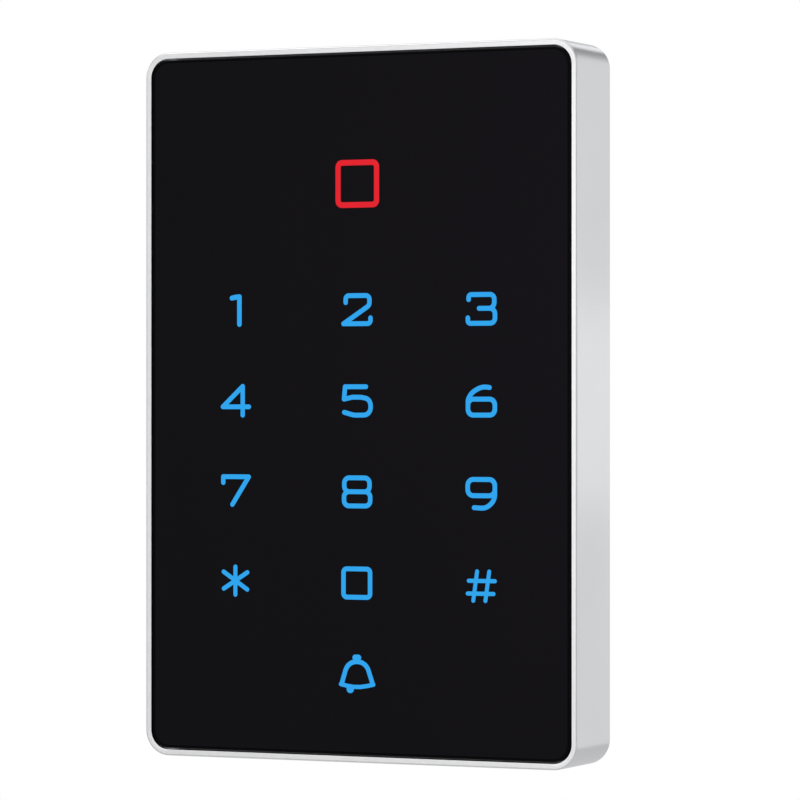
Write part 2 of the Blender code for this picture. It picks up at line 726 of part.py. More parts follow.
def make_bracket():
    """The folded steel plate on the wall: two tongues above, a drilled flange below."""
    shape = bmesh.new()
    add_plate(shape, PLATE_WIDTH, 2 * PLATE_HALF_HEIGHT, 4.0 * MM, PLATE_FRONT, 0.0, steps=5)
    bracket = piece("wall_bracket", shape, "zinc_steel", (0.0, 0.0, 0.0))

    folds = bmesh.new()
    along = (-math.cos(TONGUE_SLOPE), math.sin(TONGUE_SLOPE))
    across = (math.sin(TONGUE_SLOPE), math.cos(TONGUE_SLOPE))
    root = (PLATE_FRONT / 2, TONGUE_ROOT_Z)
    tip = [root[i] + TONGUE_LENGTH * along[i] for i in range(2)]
    half_thick = TONGUE_THICK / 2
    half_width = TONGUE_WIDTH / 2
    for side in (-1, 1):
        ends = []
        for (y, z), narrow in ((root, 0.0), (tip, 0.8 * MM)):
            x_low = side * TONGUE_X - half_width + narrow
            x_high = side * TONGUE_X + half_width - narrow
            near = (y - half_thick * across[0], z - half_thick * across[1])
            far = (y + half_thick * across[0], z + half_thick * across[1])
            ends.append(((x_low, *near), (x_high, *near), (x_high, *far), (x_low, *far)))
        add_rings(folds, ends)
    half = FLANGE_WIDTH / 2
    low = (-half, FLANGE_FRONT, -PLATE_HALF_HEIGHT)
    add_box(folds, low, (half, -0.4 * MM, -PLATE_HALF_HEIGHT + FLANGE_THICK))
    combine(bracket, "add_folds", folds, "UNION")

    windows = bmesh.new()
    front = PLATE_FRONT - 0.4 * MM
    for side in (-1, 1):
        middle = (side * TONGUE_X, TONGUE_ROOT_Z - 4.2 * MM)
        add_plate(windows, TONGUE_WIDTH + 1.6 * MM, 6.0 * MM, 1.0 * MM, front, OVERCUT, middle, 3)
        add_plate(windows, 10.0 * MM, 4.4 * MM, 2.2 * MM, front, OVERCUT, (side * 22.0 * MM, 34.0 * MM), 4)
        add_plate(windows, 4.4 * MM, 10.0 * MM, 2.2 * MM, front, OVERCUT, (side * 22.0 * MM, -42.0 * MM), 4)
        add_rod(windows, 2.2 * MM, front, OVERCUT, (side * 28.0 * MM, 0.0))
    add_plate(windows, 24.0 * MM, 22.0 * MM, 4.0 * MM, front, OVERCUT, (0.0, CABLE_Z), 4)
    combine(bracket, "cut_windows", windows, "DIFFERENCE")

    bore = bmesh.new()
    low = -PLATE_HALF_HEIGHT - OVERCUT
    high = -PLATE_HALF_HEIGHT + FLANGE_THICK + OVERCUT
    add_rod(bore, SCREW_SHANK_RADIUS + GAP, low, high, (0.0, SCREW_Y), "Z", ROUND_STEPS)
    combine(bracket, "cut_flange_bore", bore, "DIFFERENCE")


def make_captive_screw(slide, turn):
    """The screw in the bottom wall and the washer that keeps it there."""
    head_top = SCREW_HEAD_Z + SCREW_HEAD_HEIGHT
    shape = bmesh.new()
    low = head_top + GAP
    high = low + WASHER_THICK
    inner = SCREW_SHANK_RADIUS + GAP
    outer = SCREW_HEAD_RADIUS
    profile = ((outer, 0.0), (outer, high - low), (inner, high - low), (inner, 0.0))
    add_turned(shape, profile, axis="Z", steps=ROUND_STEPS, closed=True)
    piece("screw_washer", shape, "zinc_steel", (0.0, SCREW_Y, low), slide)

    shape = bmesh.new()
    profile = (
        (SCREW_HEAD_RADIUS - 0.3 * MM, 0.0),
        (SCREW_HEAD_RADIUS, 0.3 * MM),
        (SCREW_HEAD_RADIUS, SCREW_HEAD_HEIGHT),
        (SCREW_SHANK_RADIUS, SCREW_HEAD_HEIGHT),
        (SCREW_SHANK_RADIUS, SCREW_TIP_Z - SCREW_HEAD_Z - 0.6 * MM),
        (SCREW_SHANK_RADIUS * 0.6, SCREW_TIP_Z - SCREW_HEAD_Z),
    )
    add_turned(shape, profile, axis="Z", steps=ROUND_STEPS)
    screw = piece("security_screw", shape, "black_steel", (0.0, SCREW_Y, SCREW_HEAD_Z), turn)
    socket = bmesh.new()
    add_turned(socket, ((1.25 * MM, -OVERCUT), (1.25 * MM, 1.0 * MM)), axis="Z", steps=6)
    combine(screw, "cut_hex_socket", socket, "DIFFERENCE")


def main():
    """Build the reader's empties first, then every sub-part on the body that carries it."""
    clear_scene()
    reader = empty("reader_swing_axis", (0.0, REAR_Y, HEIGHT / 2))
    plunger = empty("tamper_travel_axis", (PLUNGER_X, 0.0, PLUNGER_Z), reader)
    screw_place = (0.0, SCREW_Y, SCREW_HEAD_Z)
    slide = empty("screw_advance_axis", screw_place, reader)
    turn = empty("screw_turn_axis", screw_place, slide)
    make_bracket()
    make_housing(reader)
    make_front(reader)
    make_touch_springs(reader)
    make_board(reader)
    make_antenna(reader)
    make_components(reader)
    make_tamper(reader, plunger)
    make_rear_cover(reader)
    make_grommet(reader)
    make_screws(reader)
    make_captive_screw(slide, turn)


main()
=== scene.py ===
"""Looks of a keypad access reader, built round its CAD nodes. Metres, +Z up, front faces -Y."""

import json
import math

import bmesh
import bpy
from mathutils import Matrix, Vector


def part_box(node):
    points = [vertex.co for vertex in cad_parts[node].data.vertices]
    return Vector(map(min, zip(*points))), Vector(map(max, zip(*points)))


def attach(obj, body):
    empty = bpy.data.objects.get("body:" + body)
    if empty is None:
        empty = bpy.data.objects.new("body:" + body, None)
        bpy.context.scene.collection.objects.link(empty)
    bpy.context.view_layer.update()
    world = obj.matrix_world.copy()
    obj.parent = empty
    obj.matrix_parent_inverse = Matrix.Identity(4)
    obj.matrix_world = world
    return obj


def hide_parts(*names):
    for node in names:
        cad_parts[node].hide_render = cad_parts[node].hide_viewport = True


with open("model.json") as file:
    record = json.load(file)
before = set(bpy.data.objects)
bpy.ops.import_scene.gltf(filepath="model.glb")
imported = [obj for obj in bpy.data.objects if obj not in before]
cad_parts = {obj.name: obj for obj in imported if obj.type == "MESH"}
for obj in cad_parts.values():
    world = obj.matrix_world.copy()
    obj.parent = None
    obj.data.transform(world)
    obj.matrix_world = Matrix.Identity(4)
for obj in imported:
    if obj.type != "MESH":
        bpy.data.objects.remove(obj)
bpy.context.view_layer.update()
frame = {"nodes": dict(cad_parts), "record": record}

MM = 0.001

# Outlines of the housing and the glass, from the CAD nodes, and the walls, ledge and clearance between
# pieces that the visible shell repeats.
HOUSING_LOW, HOUSING_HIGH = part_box("housing_frame")
WIDTH = HOUSING_HIGH.x - HOUSING_LOW.x
HEIGHT = HOUSING_HIGH.z - HOUSING_LOW.z
FRONT_Y = HOUSING_LOW.y
REAR_Y = HOUSING_HIGH.y
GLASS_LOW, GLASS_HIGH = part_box("touch_glass")
GLASS_FRONT = GLASS_LOW.y
GLASS_EDGE = (WIDTH - (GLASS_HIGH.x - GLASS_LOW.x)) / 2
GAP = 0.3 * MM
LEDGE_THICK = 1.4 * MM
LEDGE_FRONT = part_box("glass_seal")[1].y + GAP
LEDGE_BACK = LEDGE_FRONT + LEDGE_THICK
SHOULDER_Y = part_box("rear_seal")[0].y - GAP
CORNER_RADIUS = 4.5 * MM
LEAST_CORNER = 0.5 * MM
LIP_WIDTH = 1.07 * MM
LIP_ROUND = 0.26 * MM
SIDE_WALL = 1.6 * MM
SHOULDER_WALL = 2.8 * MM
LEDGE_REACH = 4.6 * MM
# Width of the band of painted shade along the glass's edge.
EDGE_SHADE_WIDTH = 0.5 * MM
BOTTOM = -HEIGHT / 2

# Housing details: the arris round its rear, the lip's inner arris, screw columns, pads, boss and bores, and
# the glass's ground edges.
REAR_ROUND = 0.2 * MM
REAR_BEVEL = 0.06 * MM
SIDE_START = 2.0 * MM
LIP_ARRIS = 0.10 * MM
COLUMN_RADIUS = 3.0 * MM
COLUMN_NECK_RADIUS = 1.95 * MM
PAD_RADIUS = 2.6 * MM
PILOT_RADIUS = 1.15 * MM
BOSS_HALF = 7.2 * MM
BORE_RADIUS = 2.9 * MM
BORE_MOUTH = 3.25 * MM
THREAD_BORE = 1.8 * MM
DRAIN_RADIUS = 0.9 * MM
DRAIN_MOUTH = 1.1 * MM
DRAIN_PLACE = 16.0 * MM
GLASS_ROUND = 0.12 * MM
GLASS_BACK_ROUND = 0.15 * MM

# A cutting tool reaches this far past the face that it opens.
OVERCUT = 1.0 * MM

# Camera: a long lens to the right of the front, level with the reader's middle.
CAMERA_TURN = math.radians(24.81)
CAMERA_DISTANCE = 768.5 * MM
CAMERA_SIDESTEP = 1.28 * MM
CAMERA_RISE = 0.73 * MM
CAMERA_FOCAL = 194.9
CAMERA_SENSOR = 36.0
CAMERA_NEAR = 0.01
CAMERA_FAR = 50.0

# Lit marks: places on the face, and the stroke of the characters.
COLUMN_X = (-23.9 * MM, 0.04 * MM, 23.7 * MM)
ROW_Z = (16.48 * MM, 0.58 * MM, -15.32 * MM, -31.22 * MM, -47.02 * MM)
STATUS_PLACE = (0.09 * MM, 38.45 * MM)
STROKE = 0.84
THIN_STROKE = 0.78
END_STEPS = 8
MARK_PROUD = 0.03 * MM
MARK_SUNK = 0.05 * MM
MARK_LEVELS = (GLASS_FRONT - MARK_PROUD, GLASS_FRONT + MARK_SUNK)

# Wound springs and the antenna's two layers of turns.
SPRING_TURNS = 4.5
SPRING_CLOSED_TURNS = 0.75
SPRING_STEPS = 18
TOUCH_SPRING_WIRE = 0.22 * MM
TAMPER_SPRING_WIRE = 0.2 * MM
ANTENNA_TURNS = 5
ANTENNA_WIRE = 0.2 * MM
ANTENNA_PITCH = 0.44 * MM
ANTENNA_LAYER_STEP = 0.45 * MM
ANTENNA_CORNER = 5.0 * MM

# Studio: sky brightness by elevation in degrees behind the reader and in front of it, and the dark flag
# that the glass mirrors.
BACK_SKY = ((-90, 0.5), (-30, 0.55), (-14, 0.62), (-7, 0.64), (0, 0.66), (10, 0.65), (15, 0.62), (22, 0.28),
            (26, 0.12), (42, 0.25), (60, 0.8), (90, 1.0))
FRONT_SKY = ((-90, 0.45), (-30, 0.5), (0, 0.66), (20, 0.62), (40, 0.6), (55, 0.85), (90, 0.95))
SKY_LEVEL = 1.32
SKY_BLEND = 0.3
FLAG_LEVEL = 0.25
FLAG_X = -0.42
FLAG_WIDE = 0.62
FLAG_TALL = 0.2
FLAG_INNER = 0.7
FLAG_OUTER = 1.3

# A wide pale floor, far enough below to leave the reader clear from underneath.
FLOOR_DROP = 0.9
FLOOR_RADIUS = 4.5
FLOOR_SIDES = 96
FLOOR_GREY = 0.79

# Lights: name, place, power, size, what it is aimed at, and whether polished faces mirror it.
READER_MIDDLE = (0.0, 0.0, 0.0)
SIDE_MIDDLE = (0.0416, -0.0085, 0.0)
LIGHTS = (
    ("key", (0.62, -0.62, 0.55), 3.4, 0.45, READER_MIDDLE, False),
    ("near_right", (0.13, -0.09, 0.03), 0.15, 0.05, READER_MIDDLE, False),
    ("back_left", (-0.068, 0.88, 0.44), 0.095, 0.2, READER_MIDDLE, True),
    ("fill_left", (-0.95, -0.35, 0.12), 0.7, 0.6, READER_MIDDLE, True),
    ("top", (-0.5, -0.42, 0.78), 1.2, 0.6, READER_MIDDLE, True),
    ("side_panel", (0.135, 0.19, 0.0), 0.00134, 0.045, SIDE_MIDDLE, True),
)

CORNER_STEPS = 20
SHARP_ANGLE = math.radians(35.0)
WIRE_SHARP_ANGLE = math.radians(60.0)
ARRIS_ANGLE = math.radians(40.0)


# ---------------- materials


def node(material, kind, **values):
    """A new shader node with its properties set."""
    made = material.node_tree.nodes.new(kind)
    for key, value in values.items():
        setattr(made, key, value)
    return made


def wire(material, source, target):
    """Join a node's output to another node's input."""
    material.node_tree.links.new(source, target)


def new_material(name, colour, roughness, metallic):
    """A Principled material with plain starting values."""
    made = bpy.data.materials.new(name)
    made.use_nodes = True
    surface = made.node_tree.nodes["Principled BSDF"]
    surface.inputs["Base Color"].default_value = (*colour, 1.0)
    surface.inputs["Roughness"].default_value = roughness
    surface.inputs["Metallic"].default_value = metallic
    return made, surface


def object_space(material, stretch=(1.0, 1.0, 1.0)):
    """Coordinates fixed to the object, stretched along its axes."""
    place = node(material, "ShaderNodeTexCoord")
    mapping = node(material, "ShaderNodeMapping")
    mapping.inputs["Scale"].default_value = stretch
    wire(material, place.outputs["Object"], mapping.inputs["Vector"])
    return mapping.outputs["Vector"]


def noise(material, space, scale, detail=3.0, rough=0.55):
    """Soft noise from 0 to 1; scale is in repeats per metre."""
    made = node(material, "ShaderNodeTexNoise")
    made.inputs["Scale"].default_value = scale
    made.inputs["Detail"].default_value = detail
    made.inputs["Roughness"].default_value = rough
    wire(material, space, made.inputs["Vector"])
    return made.outputs["Fac"]


def cells(material, space, scale, distance="EUCLIDEAN", output="Distance"):
    """A cell pattern; scale is in cells per metre."""
    made = node(material, "ShaderNodeTexVoronoi", distance=distance)
    made.inputs["Scale"].default_value = scale
    wire(material, space, made.inputs["Vector"])
    return made.outputs[output]


def spread(material, factor, low, high, from_low=0.3, from_high=0.7):
    """A 0 to 1 value moved to run from low to high."""
    made = node(material, "ShaderNodeMapRange")
    made.inputs["From Min"].default_value = from_low
    made.inputs["From Max"].default_value = from_high
    made.inputs["To Min"].default_value = low
    made.inputs["To Max"].default_value = high
    wire(material, factor, made.inputs["Value"])
    return made.outputs["Result"]


def colour_mix(material, factor):
    """A mix node driven by a factor: its two colour inputs and its result."""
    made = node(material, "ShaderNodeMix", data_type="RGBA")
    wire(material, factor, made.inputs["Factor"])
    first, second = [socket for socket in made.inputs if socket.type == "RGBA"]
    result = [socket for socket in made.outputs if socket.type == "RGBA"][0]
    return first, second, result


def blend_colour(material, factor, first, second):
    """Two colours mixed by a factor."""
    low, high, result = colour_mix(material, factor)
    low.default_value = (*first, 1.0)
    high.default_value = (*second, 1.0)
    return result


def shaded(colour, factor):
    """A colour made lighter or darker by a factor."""
    return tuple(min(1.0, channel * factor) for channel in colour)


def add_bump(material, surface, height, distance, below=None):
    """Raise the surface by a height; below is a bump that it sits on."""
    made = node(material, "ShaderNodeBump")
    made.inputs["Distance"].default_value = distance
    made.inputs["Strength"].default_value = 1.0
    wire(material, height, made.inputs["Height"])
    if below:
        wire(material, below, made.inputs["Normal"])
    wire(material, made.outputs["Normal"], surface.inputs["Normal"])
    return made.outputs["Normal"]


def grained(name, colour, roughness, metallic=0.0, grain=3000.0, depth=0.01 * MM, mottle=90.0,
            contrast=0.12, rough_spread=0.06):
    """A moulded or blasted surface: fine grain, soft mottling and uneven gloss."""
    material, surface = new_material(name, colour, roughness, metallic)
    space = object_space(material)
    patches = noise(material, space, mottle)
    tone = blend_colour(material, patches, shaded(colour, 1 - contrast), shaded(colour, 1 + contrast))
    wire(material, tone, surface.inputs["Base Color"])
    gloss = noise(material, space, mottle * 4.3)
    wire(material, spread(material, gloss, roughness - rough_spread, roughness + rough_spread),
         surface.inputs["Roughness"])
    fine = noise(material, space, grain, detail=2.0)
    add_bump(material, surface, fine, depth)
    return material


def satin_metal():
    """Blasted and clear-anodised silver: dense fine pits with faint broad clouding."""
    colour = (0.70, 0.705, 0.722)
    material, surface = new_material("satin_housing", colour, 0.2, 1.0)
    space = object_space(material)
    clouds = noise(material, space, 42.0)
    tone = blend_colour(material, clouds, shaded(colour, 0.96), shaded(colour, 1.04))
    wire(material, tone, surface.inputs["Base Color"])
    pits = cells(material, space, 4200.0)
    gloss = spread(material, pits, 0.17, 0.23, from_low=0.1, from_high=0.6)
    wire(material, gloss, surface.inputs["Roughness"])
    broad = noise(material, space, 650.0)
    first = add_bump(material, surface, broad, 0.001 * MM)
    add_bump(material, surface, pits, 0.002 * MM, below=first)
    return material


def polished_metal():
    """The diamond-cut lip: bright, with fine tool lines that run round it."""
    colour = (0.89, 0.89, 0.895)
    material, surface = new_material("polished_lip", colour, 0.4, 0.5)
    space = object_space(material)
    lines = noise(material, space, 1600.0, detail=4.0)
    tone = blend_colour(material, lines, shaded(colour, 0.975), shaded(colour, 1.02))
    wire(material, tone, surface.inputs["Base Color"])
    wire(material, spread(material, lines, 0.36, 0.44), surface.inputs["Roughness"])
    add_bump(material, surface, lines, 0.0004 * MM)
    return material


def black_glass():
    """Back-printed glass: deep black, glossy, with the faintest wipe marks."""
    colour = (0.0026, 0.0021, 0.0034)
    material, surface = new_material("black_glass", colour, 0.06, 0.0)
    surface.inputs["IOR"].default_value = 1.5
    surface.inputs["Specular IOR Level"].default_value = 0.3
    space = object_space(material, (1.0, 1.0, 0.35))
    wipes = noise(material, space, 55.0, detail=5.0, rough=0.6)
    wire(material, spread(material, wipes, 0.045, 0.085), surface.inputs["Roughness"])
    tone = blend_colour(material, wipes, shaded(colour, 0.92), shaded(colour, 1.08))
    wire(material, tone, surface.inputs["Base Color"])
    waves = noise(material, space, 14.0, detail=1.0)
    add_bump(material, surface, waves, 0.004 * MM)
    return material


def edge_shade_print():
    """Painted shade: a blacker band along the glass's edge, standing in for the shadowed line where the glass
    meets the lip.
    """
    colour = (0.0012, 0.0012, 0.0016)
    material, surface = new_material("glass_edge_shade", colour, 0.2, 0.0)
    surface.inputs["Specular IOR Level"].default_value = 0.08
    space = object_space(material)
    speckle = noise(material, space, 2600.0)
    tone = blend_colour(material, speckle, shaded(colour, 0.8), shaded(colour, 1.2))
    wire(material, tone, surface.inputs["Base Color"])
    wire(material, spread(material, speckle, 0.16, 0.26), surface.inputs["Roughness"])
    return material


def lit_print(name, light, body):
    """A mark lit from behind: even light with a trace of the diffuser's grain, under gloss."""
    material, surface = new_material(name, body, 0.08, 0.0)
    space = object_space(material)
    grain = noise(material, space, 900.0, detail=3.0)
    tone = blend_colour(material, grain, shaded(light, 0.955), shaded(light, 1.045))
    wire(material, tone, surface.inputs["Emission Color"])
    surface.inputs["Emission Strength"].default_value = 1.0
    wire(material, spread(material, grain, 0.06, 0.12), surface.inputs["Roughness"])
    return material


def zinc_plate():
    """Zinc-plated sheet: rolled grain along X, small spangles and dull patches."""
    colour = (0.56, 0.57, 0.585)
    material, surface = new_material("zinc_steel", colour, 0.36, 1.0)
    space = object_space(material)
    spangle = cells(material, space, 320.0, output="Color")
    grey = node(material, "ShaderNodeRGBToBW")
    wire(material, spangle, grey.inputs["Color"])
    tone = blend_colour(material, grey.outputs["Val"], shaded(colour, 0.90), shaded(colour, 1.09))
    wire(material, tone, surface.inputs["Base Color"])
    dull = noise(material, space, 70.0)
    wire(material, spread(material, dull, 0.28, 0.46), surface.inputs["Roughness"])
    rolled = noise(material, object_space(material, (0.06, 1.0, 1.0)), 2600.0)
    add_bump(material, surface, rolled, 0.006 * MM)
    return material


def board_green():
    """Solder mask over copper: square-cornered traces stand a little proud and lighter."""
    colour = (0.012, 0.10, 0.045)
    material, surface = new_material("green_board", colour, 0.32, 0.0)
    space = object_space(material)
    routes = cells(material, space, 260.0, distance="CHEBYCHEV")
    traces = spread(material, routes, 0.0, 1.0, from_low=0.36, from_high=0.44)
    tone = blend_colour(material, traces, colour, shaded(colour, 1.7))
    wire(material, tone, surface.inputs["Base Color"])
    gloss = noise(material, space, 500.0)
    wire(material, spread(material, gloss, 0.26, 0.38), surface.inputs["Roughness"])
    add_bump(material, surface, traces, 0.03 * MM)
    return material


def drawn_wire(name, colour, roughness):
    """Drawn metal: fine lengthwise lines and slight tarnish."""
    return grained(name, colour, roughness, metallic=1.0, grain=5200.0, depth=0.003 * MM, mottle=210.0,
                   contrast=0.10, rough_spread=0.07)


def make_materials():
    """One material for each finish, by the record's slot name."""
    return {
        "satin_housing": satin_metal(),
        "polished_lip": polished_metal(),
        "black_glass": black_glass(),
        # Painted shade: a blacker band along the glass's edge, where it meets the lip.
        "glass_edge_shade": edge_shade_print(),
        "icon_blue": lit_print("icon_blue", (0.0225, 0.362, 0.83), (0.002, 0.006, 0.012)),
        "icon_red": lit_print("icon_red", (0.75, 0.0125, 0.0235), (0.012, 0.001, 0.001)),
        "black_rubber": grained("black_rubber", (0.018, 0.018, 0.018), 0.70, grain=2400.0,
                                depth=0.02 * MM),
        "white_film": grained("white_film", (0.72, 0.73, 0.75), 0.45, grain=4000.0, depth=0.004 * MM,
                              contrast=0.03),
        "white_plastic": grained("white_plastic", (0.76, 0.76, 0.74), 0.46, contrast=0.04),
        "spring_steel": drawn_wire("spring_steel", (0.58, 0.58, 0.59), 0.26),
        "green_board": board_green(),
        "copper_wire": drawn_wire("copper_wire", (0.62, 0.27, 0.11), 0.28),
        "chip_resin": grained("chip_resin", (0.020, 0.020, 0.022), 0.48, grain=6500.0, depth=0.008 * MM),
        "relay_blue": grained("relay_blue", (0.025, 0.09, 0.30), 0.34, grain=2600.0, depth=0.006 * MM),
        "can_metal": drawn_wire("can_metal", (0.72, 0.72, 0.73), 0.22),
        "black_plastic": grained("black_plastic", (0.017, 0.017, 0.018), 0.47, grain=2100.0,
                                 depth=0.035 * MM, contrast=0.16, rough_spread=0.08),
        "green_plastic": grained("green_plastic", (0.04, 0.28, 0.10), 0.42),
        "red_plastic": grained("red_plastic", (0.42, 0.025, 0.025), 0.38),
        "zinc_steel": zinc_plate(),
        "black_steel": grained("black_steel", (0.032, 0.032, 0.034), 0.34, metallic=0.9, grain=2800.0,
                               depth=0.006 * MM),
    }


# ---------------- mesh tools


def finish_mesh(name, shape, sharp=SHARP_ANGLE):
    """Turn a bmesh into a linked object with smooth faces and crisp edges."""
    bmesh.ops.recalc_face_normals(shape, faces=shape.faces)
    mesh = bpy.data.meshes.new(name)
    shape.to_mesh(mesh)
    shape.free()
    mesh.shade_smooth()
    mesh.set_sharp_from_angle(angle=sharp)
    obj = bpy.data.objects.new(name, mesh)
    bpy.context.scene.collection.objects.link(obj)
    return obj


def settle(obj):
    """Apply an object's modifiers and mark its crisp edges again."""
    graph = bpy.context.evaluated_depsgraph_get()
    mesh = bpy.data.meshes.new_from_object(obj.evaluated_get(graph))
    obj.modifiers.clear()
    obj.data = mesh
    mesh.name = obj.name
    mesh.shade_smooth()
    mesh.set_sharp_from_angle(angle=SHARP_ANGLE)


def combine(target, tools, operation):
    """Add or cut helper solids one by one, and remove them."""
    for tool in tools:
        modifier = target.modifiers.new("combine", "BOOLEAN")
        modifier.operation = operation
        modifier.solver = "EXACT"
        modifier.object = tool
    settle(target)
    for tool in tools:
        bpy.data.objects.remove(tool)


def even_normals(obj):
    """Keep large flat faces flat where they meet rounded ones."""
    modifier = obj.modifiers.new("even_normals", "WEIGHTED_NORMAL")
    modifier.keep_sharp = True


def dress(obj, body, slot, *nodes):
    """Give a finished piece its material, its body and the CAD nodes that it stands for."""
    obj.data.materials.clear()
    obj.data.materials.append(MATERIALS[slot])
    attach(obj, body)
    if nodes:
        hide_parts(*nodes)


def add_rings(shape, rings, closed=False):
    """Skin a row of point rings, capped at its ends or closed on itself."""
    loops = [[shape.verts.new(point) for point in ring] for ring in rings]
    count = len(loops[0])
    pairs = list(zip(loops, loops[1:]))
    if closed:
        pairs.append((loops[-1], loops[0]))
    for first, second in pairs:
        for i in range(count):
            j = (i + 1) % count
            shape.faces.new((first[i], first[j], second[j], second[i]))
    if not closed:
        shape.faces.new(loops[0])
        shape.faces.new(reversed(loops[-1]))


def rounded_ring(width, height, radius, y, centre=(0.0, 0.0), steps=CORNER_STEPS):
    """A rounded rectangle in the XZ plane at depth y."""
    points = []
    for turn, (side_x, side_z) in enumerate(((1, 1), (-1, 1), (-1, -1), (1, -1))):
        corner_x = centre[0] + side_x * (width / 2 - radius)
        corner_z = centre[1] + side_z * (height / 2 - radius)
        for step in range(steps + 1):
            angle = math.pi / 2 * (turn + step / steps)
            x = corner_x + radius * math.cos(angle)
            points.append((x, y, corner_z + radius * math.sin(angle)))
    return points


def housing_ring(inset, y):
    """The housing's outline at depth y, drawn in by the inset."""
    radius = max(CORNER_RADIUS - inset, LEAST_CORNER)
    return rounded_ring(WIDTH - 2 * inset, HEIGHT - 2 * inset, radius, y)


def block(name, low, high):
    """A plain block between two corners."""
    shape = bmesh.new()
    rings = []
    for y in (low[1], high[1]):
        rings.append(((low[0], y, low[2]), (high[0], y, low[2]), (high[0], y, high[2]), (low[0], y, high[2])))
    add_rings(shape, rings)
    return finish_mesh(name, shape)


def turned(name, profile, centre, axis="Y", steps=48, closed=False):
    """A turned solid about Y or Z from (radius, level) pairs, closed on itself for a tube."""
    shape = bmesh.new()
    rings = []
    for radius, level in profile:
        ring = []
        for step in range(steps):
            angle = 2 * math.pi * step / steps
            a = centre[0] + radius * math.cos(angle)
            b = centre[1] + radius * math.sin(angle)
            ring.append((a, level, b) if axis == "Y" else (a, b, level))
        rings.append(ring)
    add_rings(shape, rings, closed)
    return finish_mesh(name, shape)


def round_over(radius, level, size, steps=5):
    """Profile points that round an outer edge, from the side up to the end face at the level."""
    points = []
    for step in range(steps + 1):
        angle = math.pi / 2 * step / steps
        points.append((radius - size + size * math.cos(angle), level + size * (math.sin(angle) - 1)))
    return points


def wire_tube(name, path, radius, sides=8, closed=False):
    """A round wire along a path of points, its section kept square to the path."""
    shape = bmesh.new()
    points = [Vector(point) for point in path]
    count = len(points)
    rings = []
    side = None
    for i, point in enumerate(points):
        before = points[i - 1] if i or closed else point
        after = points[(i + 1) % count] if i < count - 1 or closed else point
        along = (after - before).normalized()
        if side is None:
            side = along.cross(Vector((0.0, 0.3, 1.0))).normalized()
        side = (side - along * side.dot(along)).normalized()
        other = along.cross(side)
        ring = []
        for step in range(sides):
            angle = 2 * math.pi * step / sides
            ring.append(point + radius * (math.cos(angle) * side + math.sin(angle) * other))
        rings.append(ring)
    add_rings(shape, rings, closed)
    return finish_mesh(name, shape, WIRE_SHARP_ANGLE)


def middle(name):
    """Centre of a CAD node's box."""
    low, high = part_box(name)
    return (low + high) / 2


def turned_at(node_name, name, profile, steps=48, closed=False):
    """A solid turned about the Y line through the middle of a CAD node."""
    place = middle(node_name)
    return turned(name, profile, (place.x, place.z), "Y", steps, closed)


# ---------------- housing and glass


def housing_shell():
    """The frame's wall, lip, ledge and shoulder: one closed profile carried round the outline."""
    shape = bmesh.new()
    profile = [(SIDE_WALL, REAR_Y), (REAR_ROUND, REAR_Y), (REAR_BEVEL, REAR_Y - REAR_BEVEL)]
    profile += [(0.0, REAR_Y - REAR_ROUND), (0.0, FRONT_Y + SIDE_START)]
    steps = 6
    for step in range(steps + 1):
        angle = math.pi / 2 * step / steps
        inset = LIP_ROUND * (1 - math.cos(angle))
        profile.append((inset, FRONT_Y + LIP_ROUND * (1 - math.sin(angle))))
    corner = 0.3 * LIP_ARRIS
    profile += [(LIP_WIDTH - LIP_ARRIS, FRONT_Y), (LIP_WIDTH - corner, FRONT_Y + corner)]
    profile += [(LIP_WIDTH, FRONT_Y + LIP_ARRIS), (LIP_WIDTH, LEDGE_FRONT), (LEDGE_REACH, LEDGE_FRONT)]
    profile += [(LEDGE_REACH, LEDGE_BACK), (SHOULDER_WALL, LEDGE_BACK), (SHOULDER_WALL, SHOULDER_Y)]
    profile += [(SIDE_WALL, SHOULDER_Y)]
    add_rings(shape, [housing_ring(inset, y) for inset, y in profile], closed=True)
    return finish_mesh("housing_shell", shape)


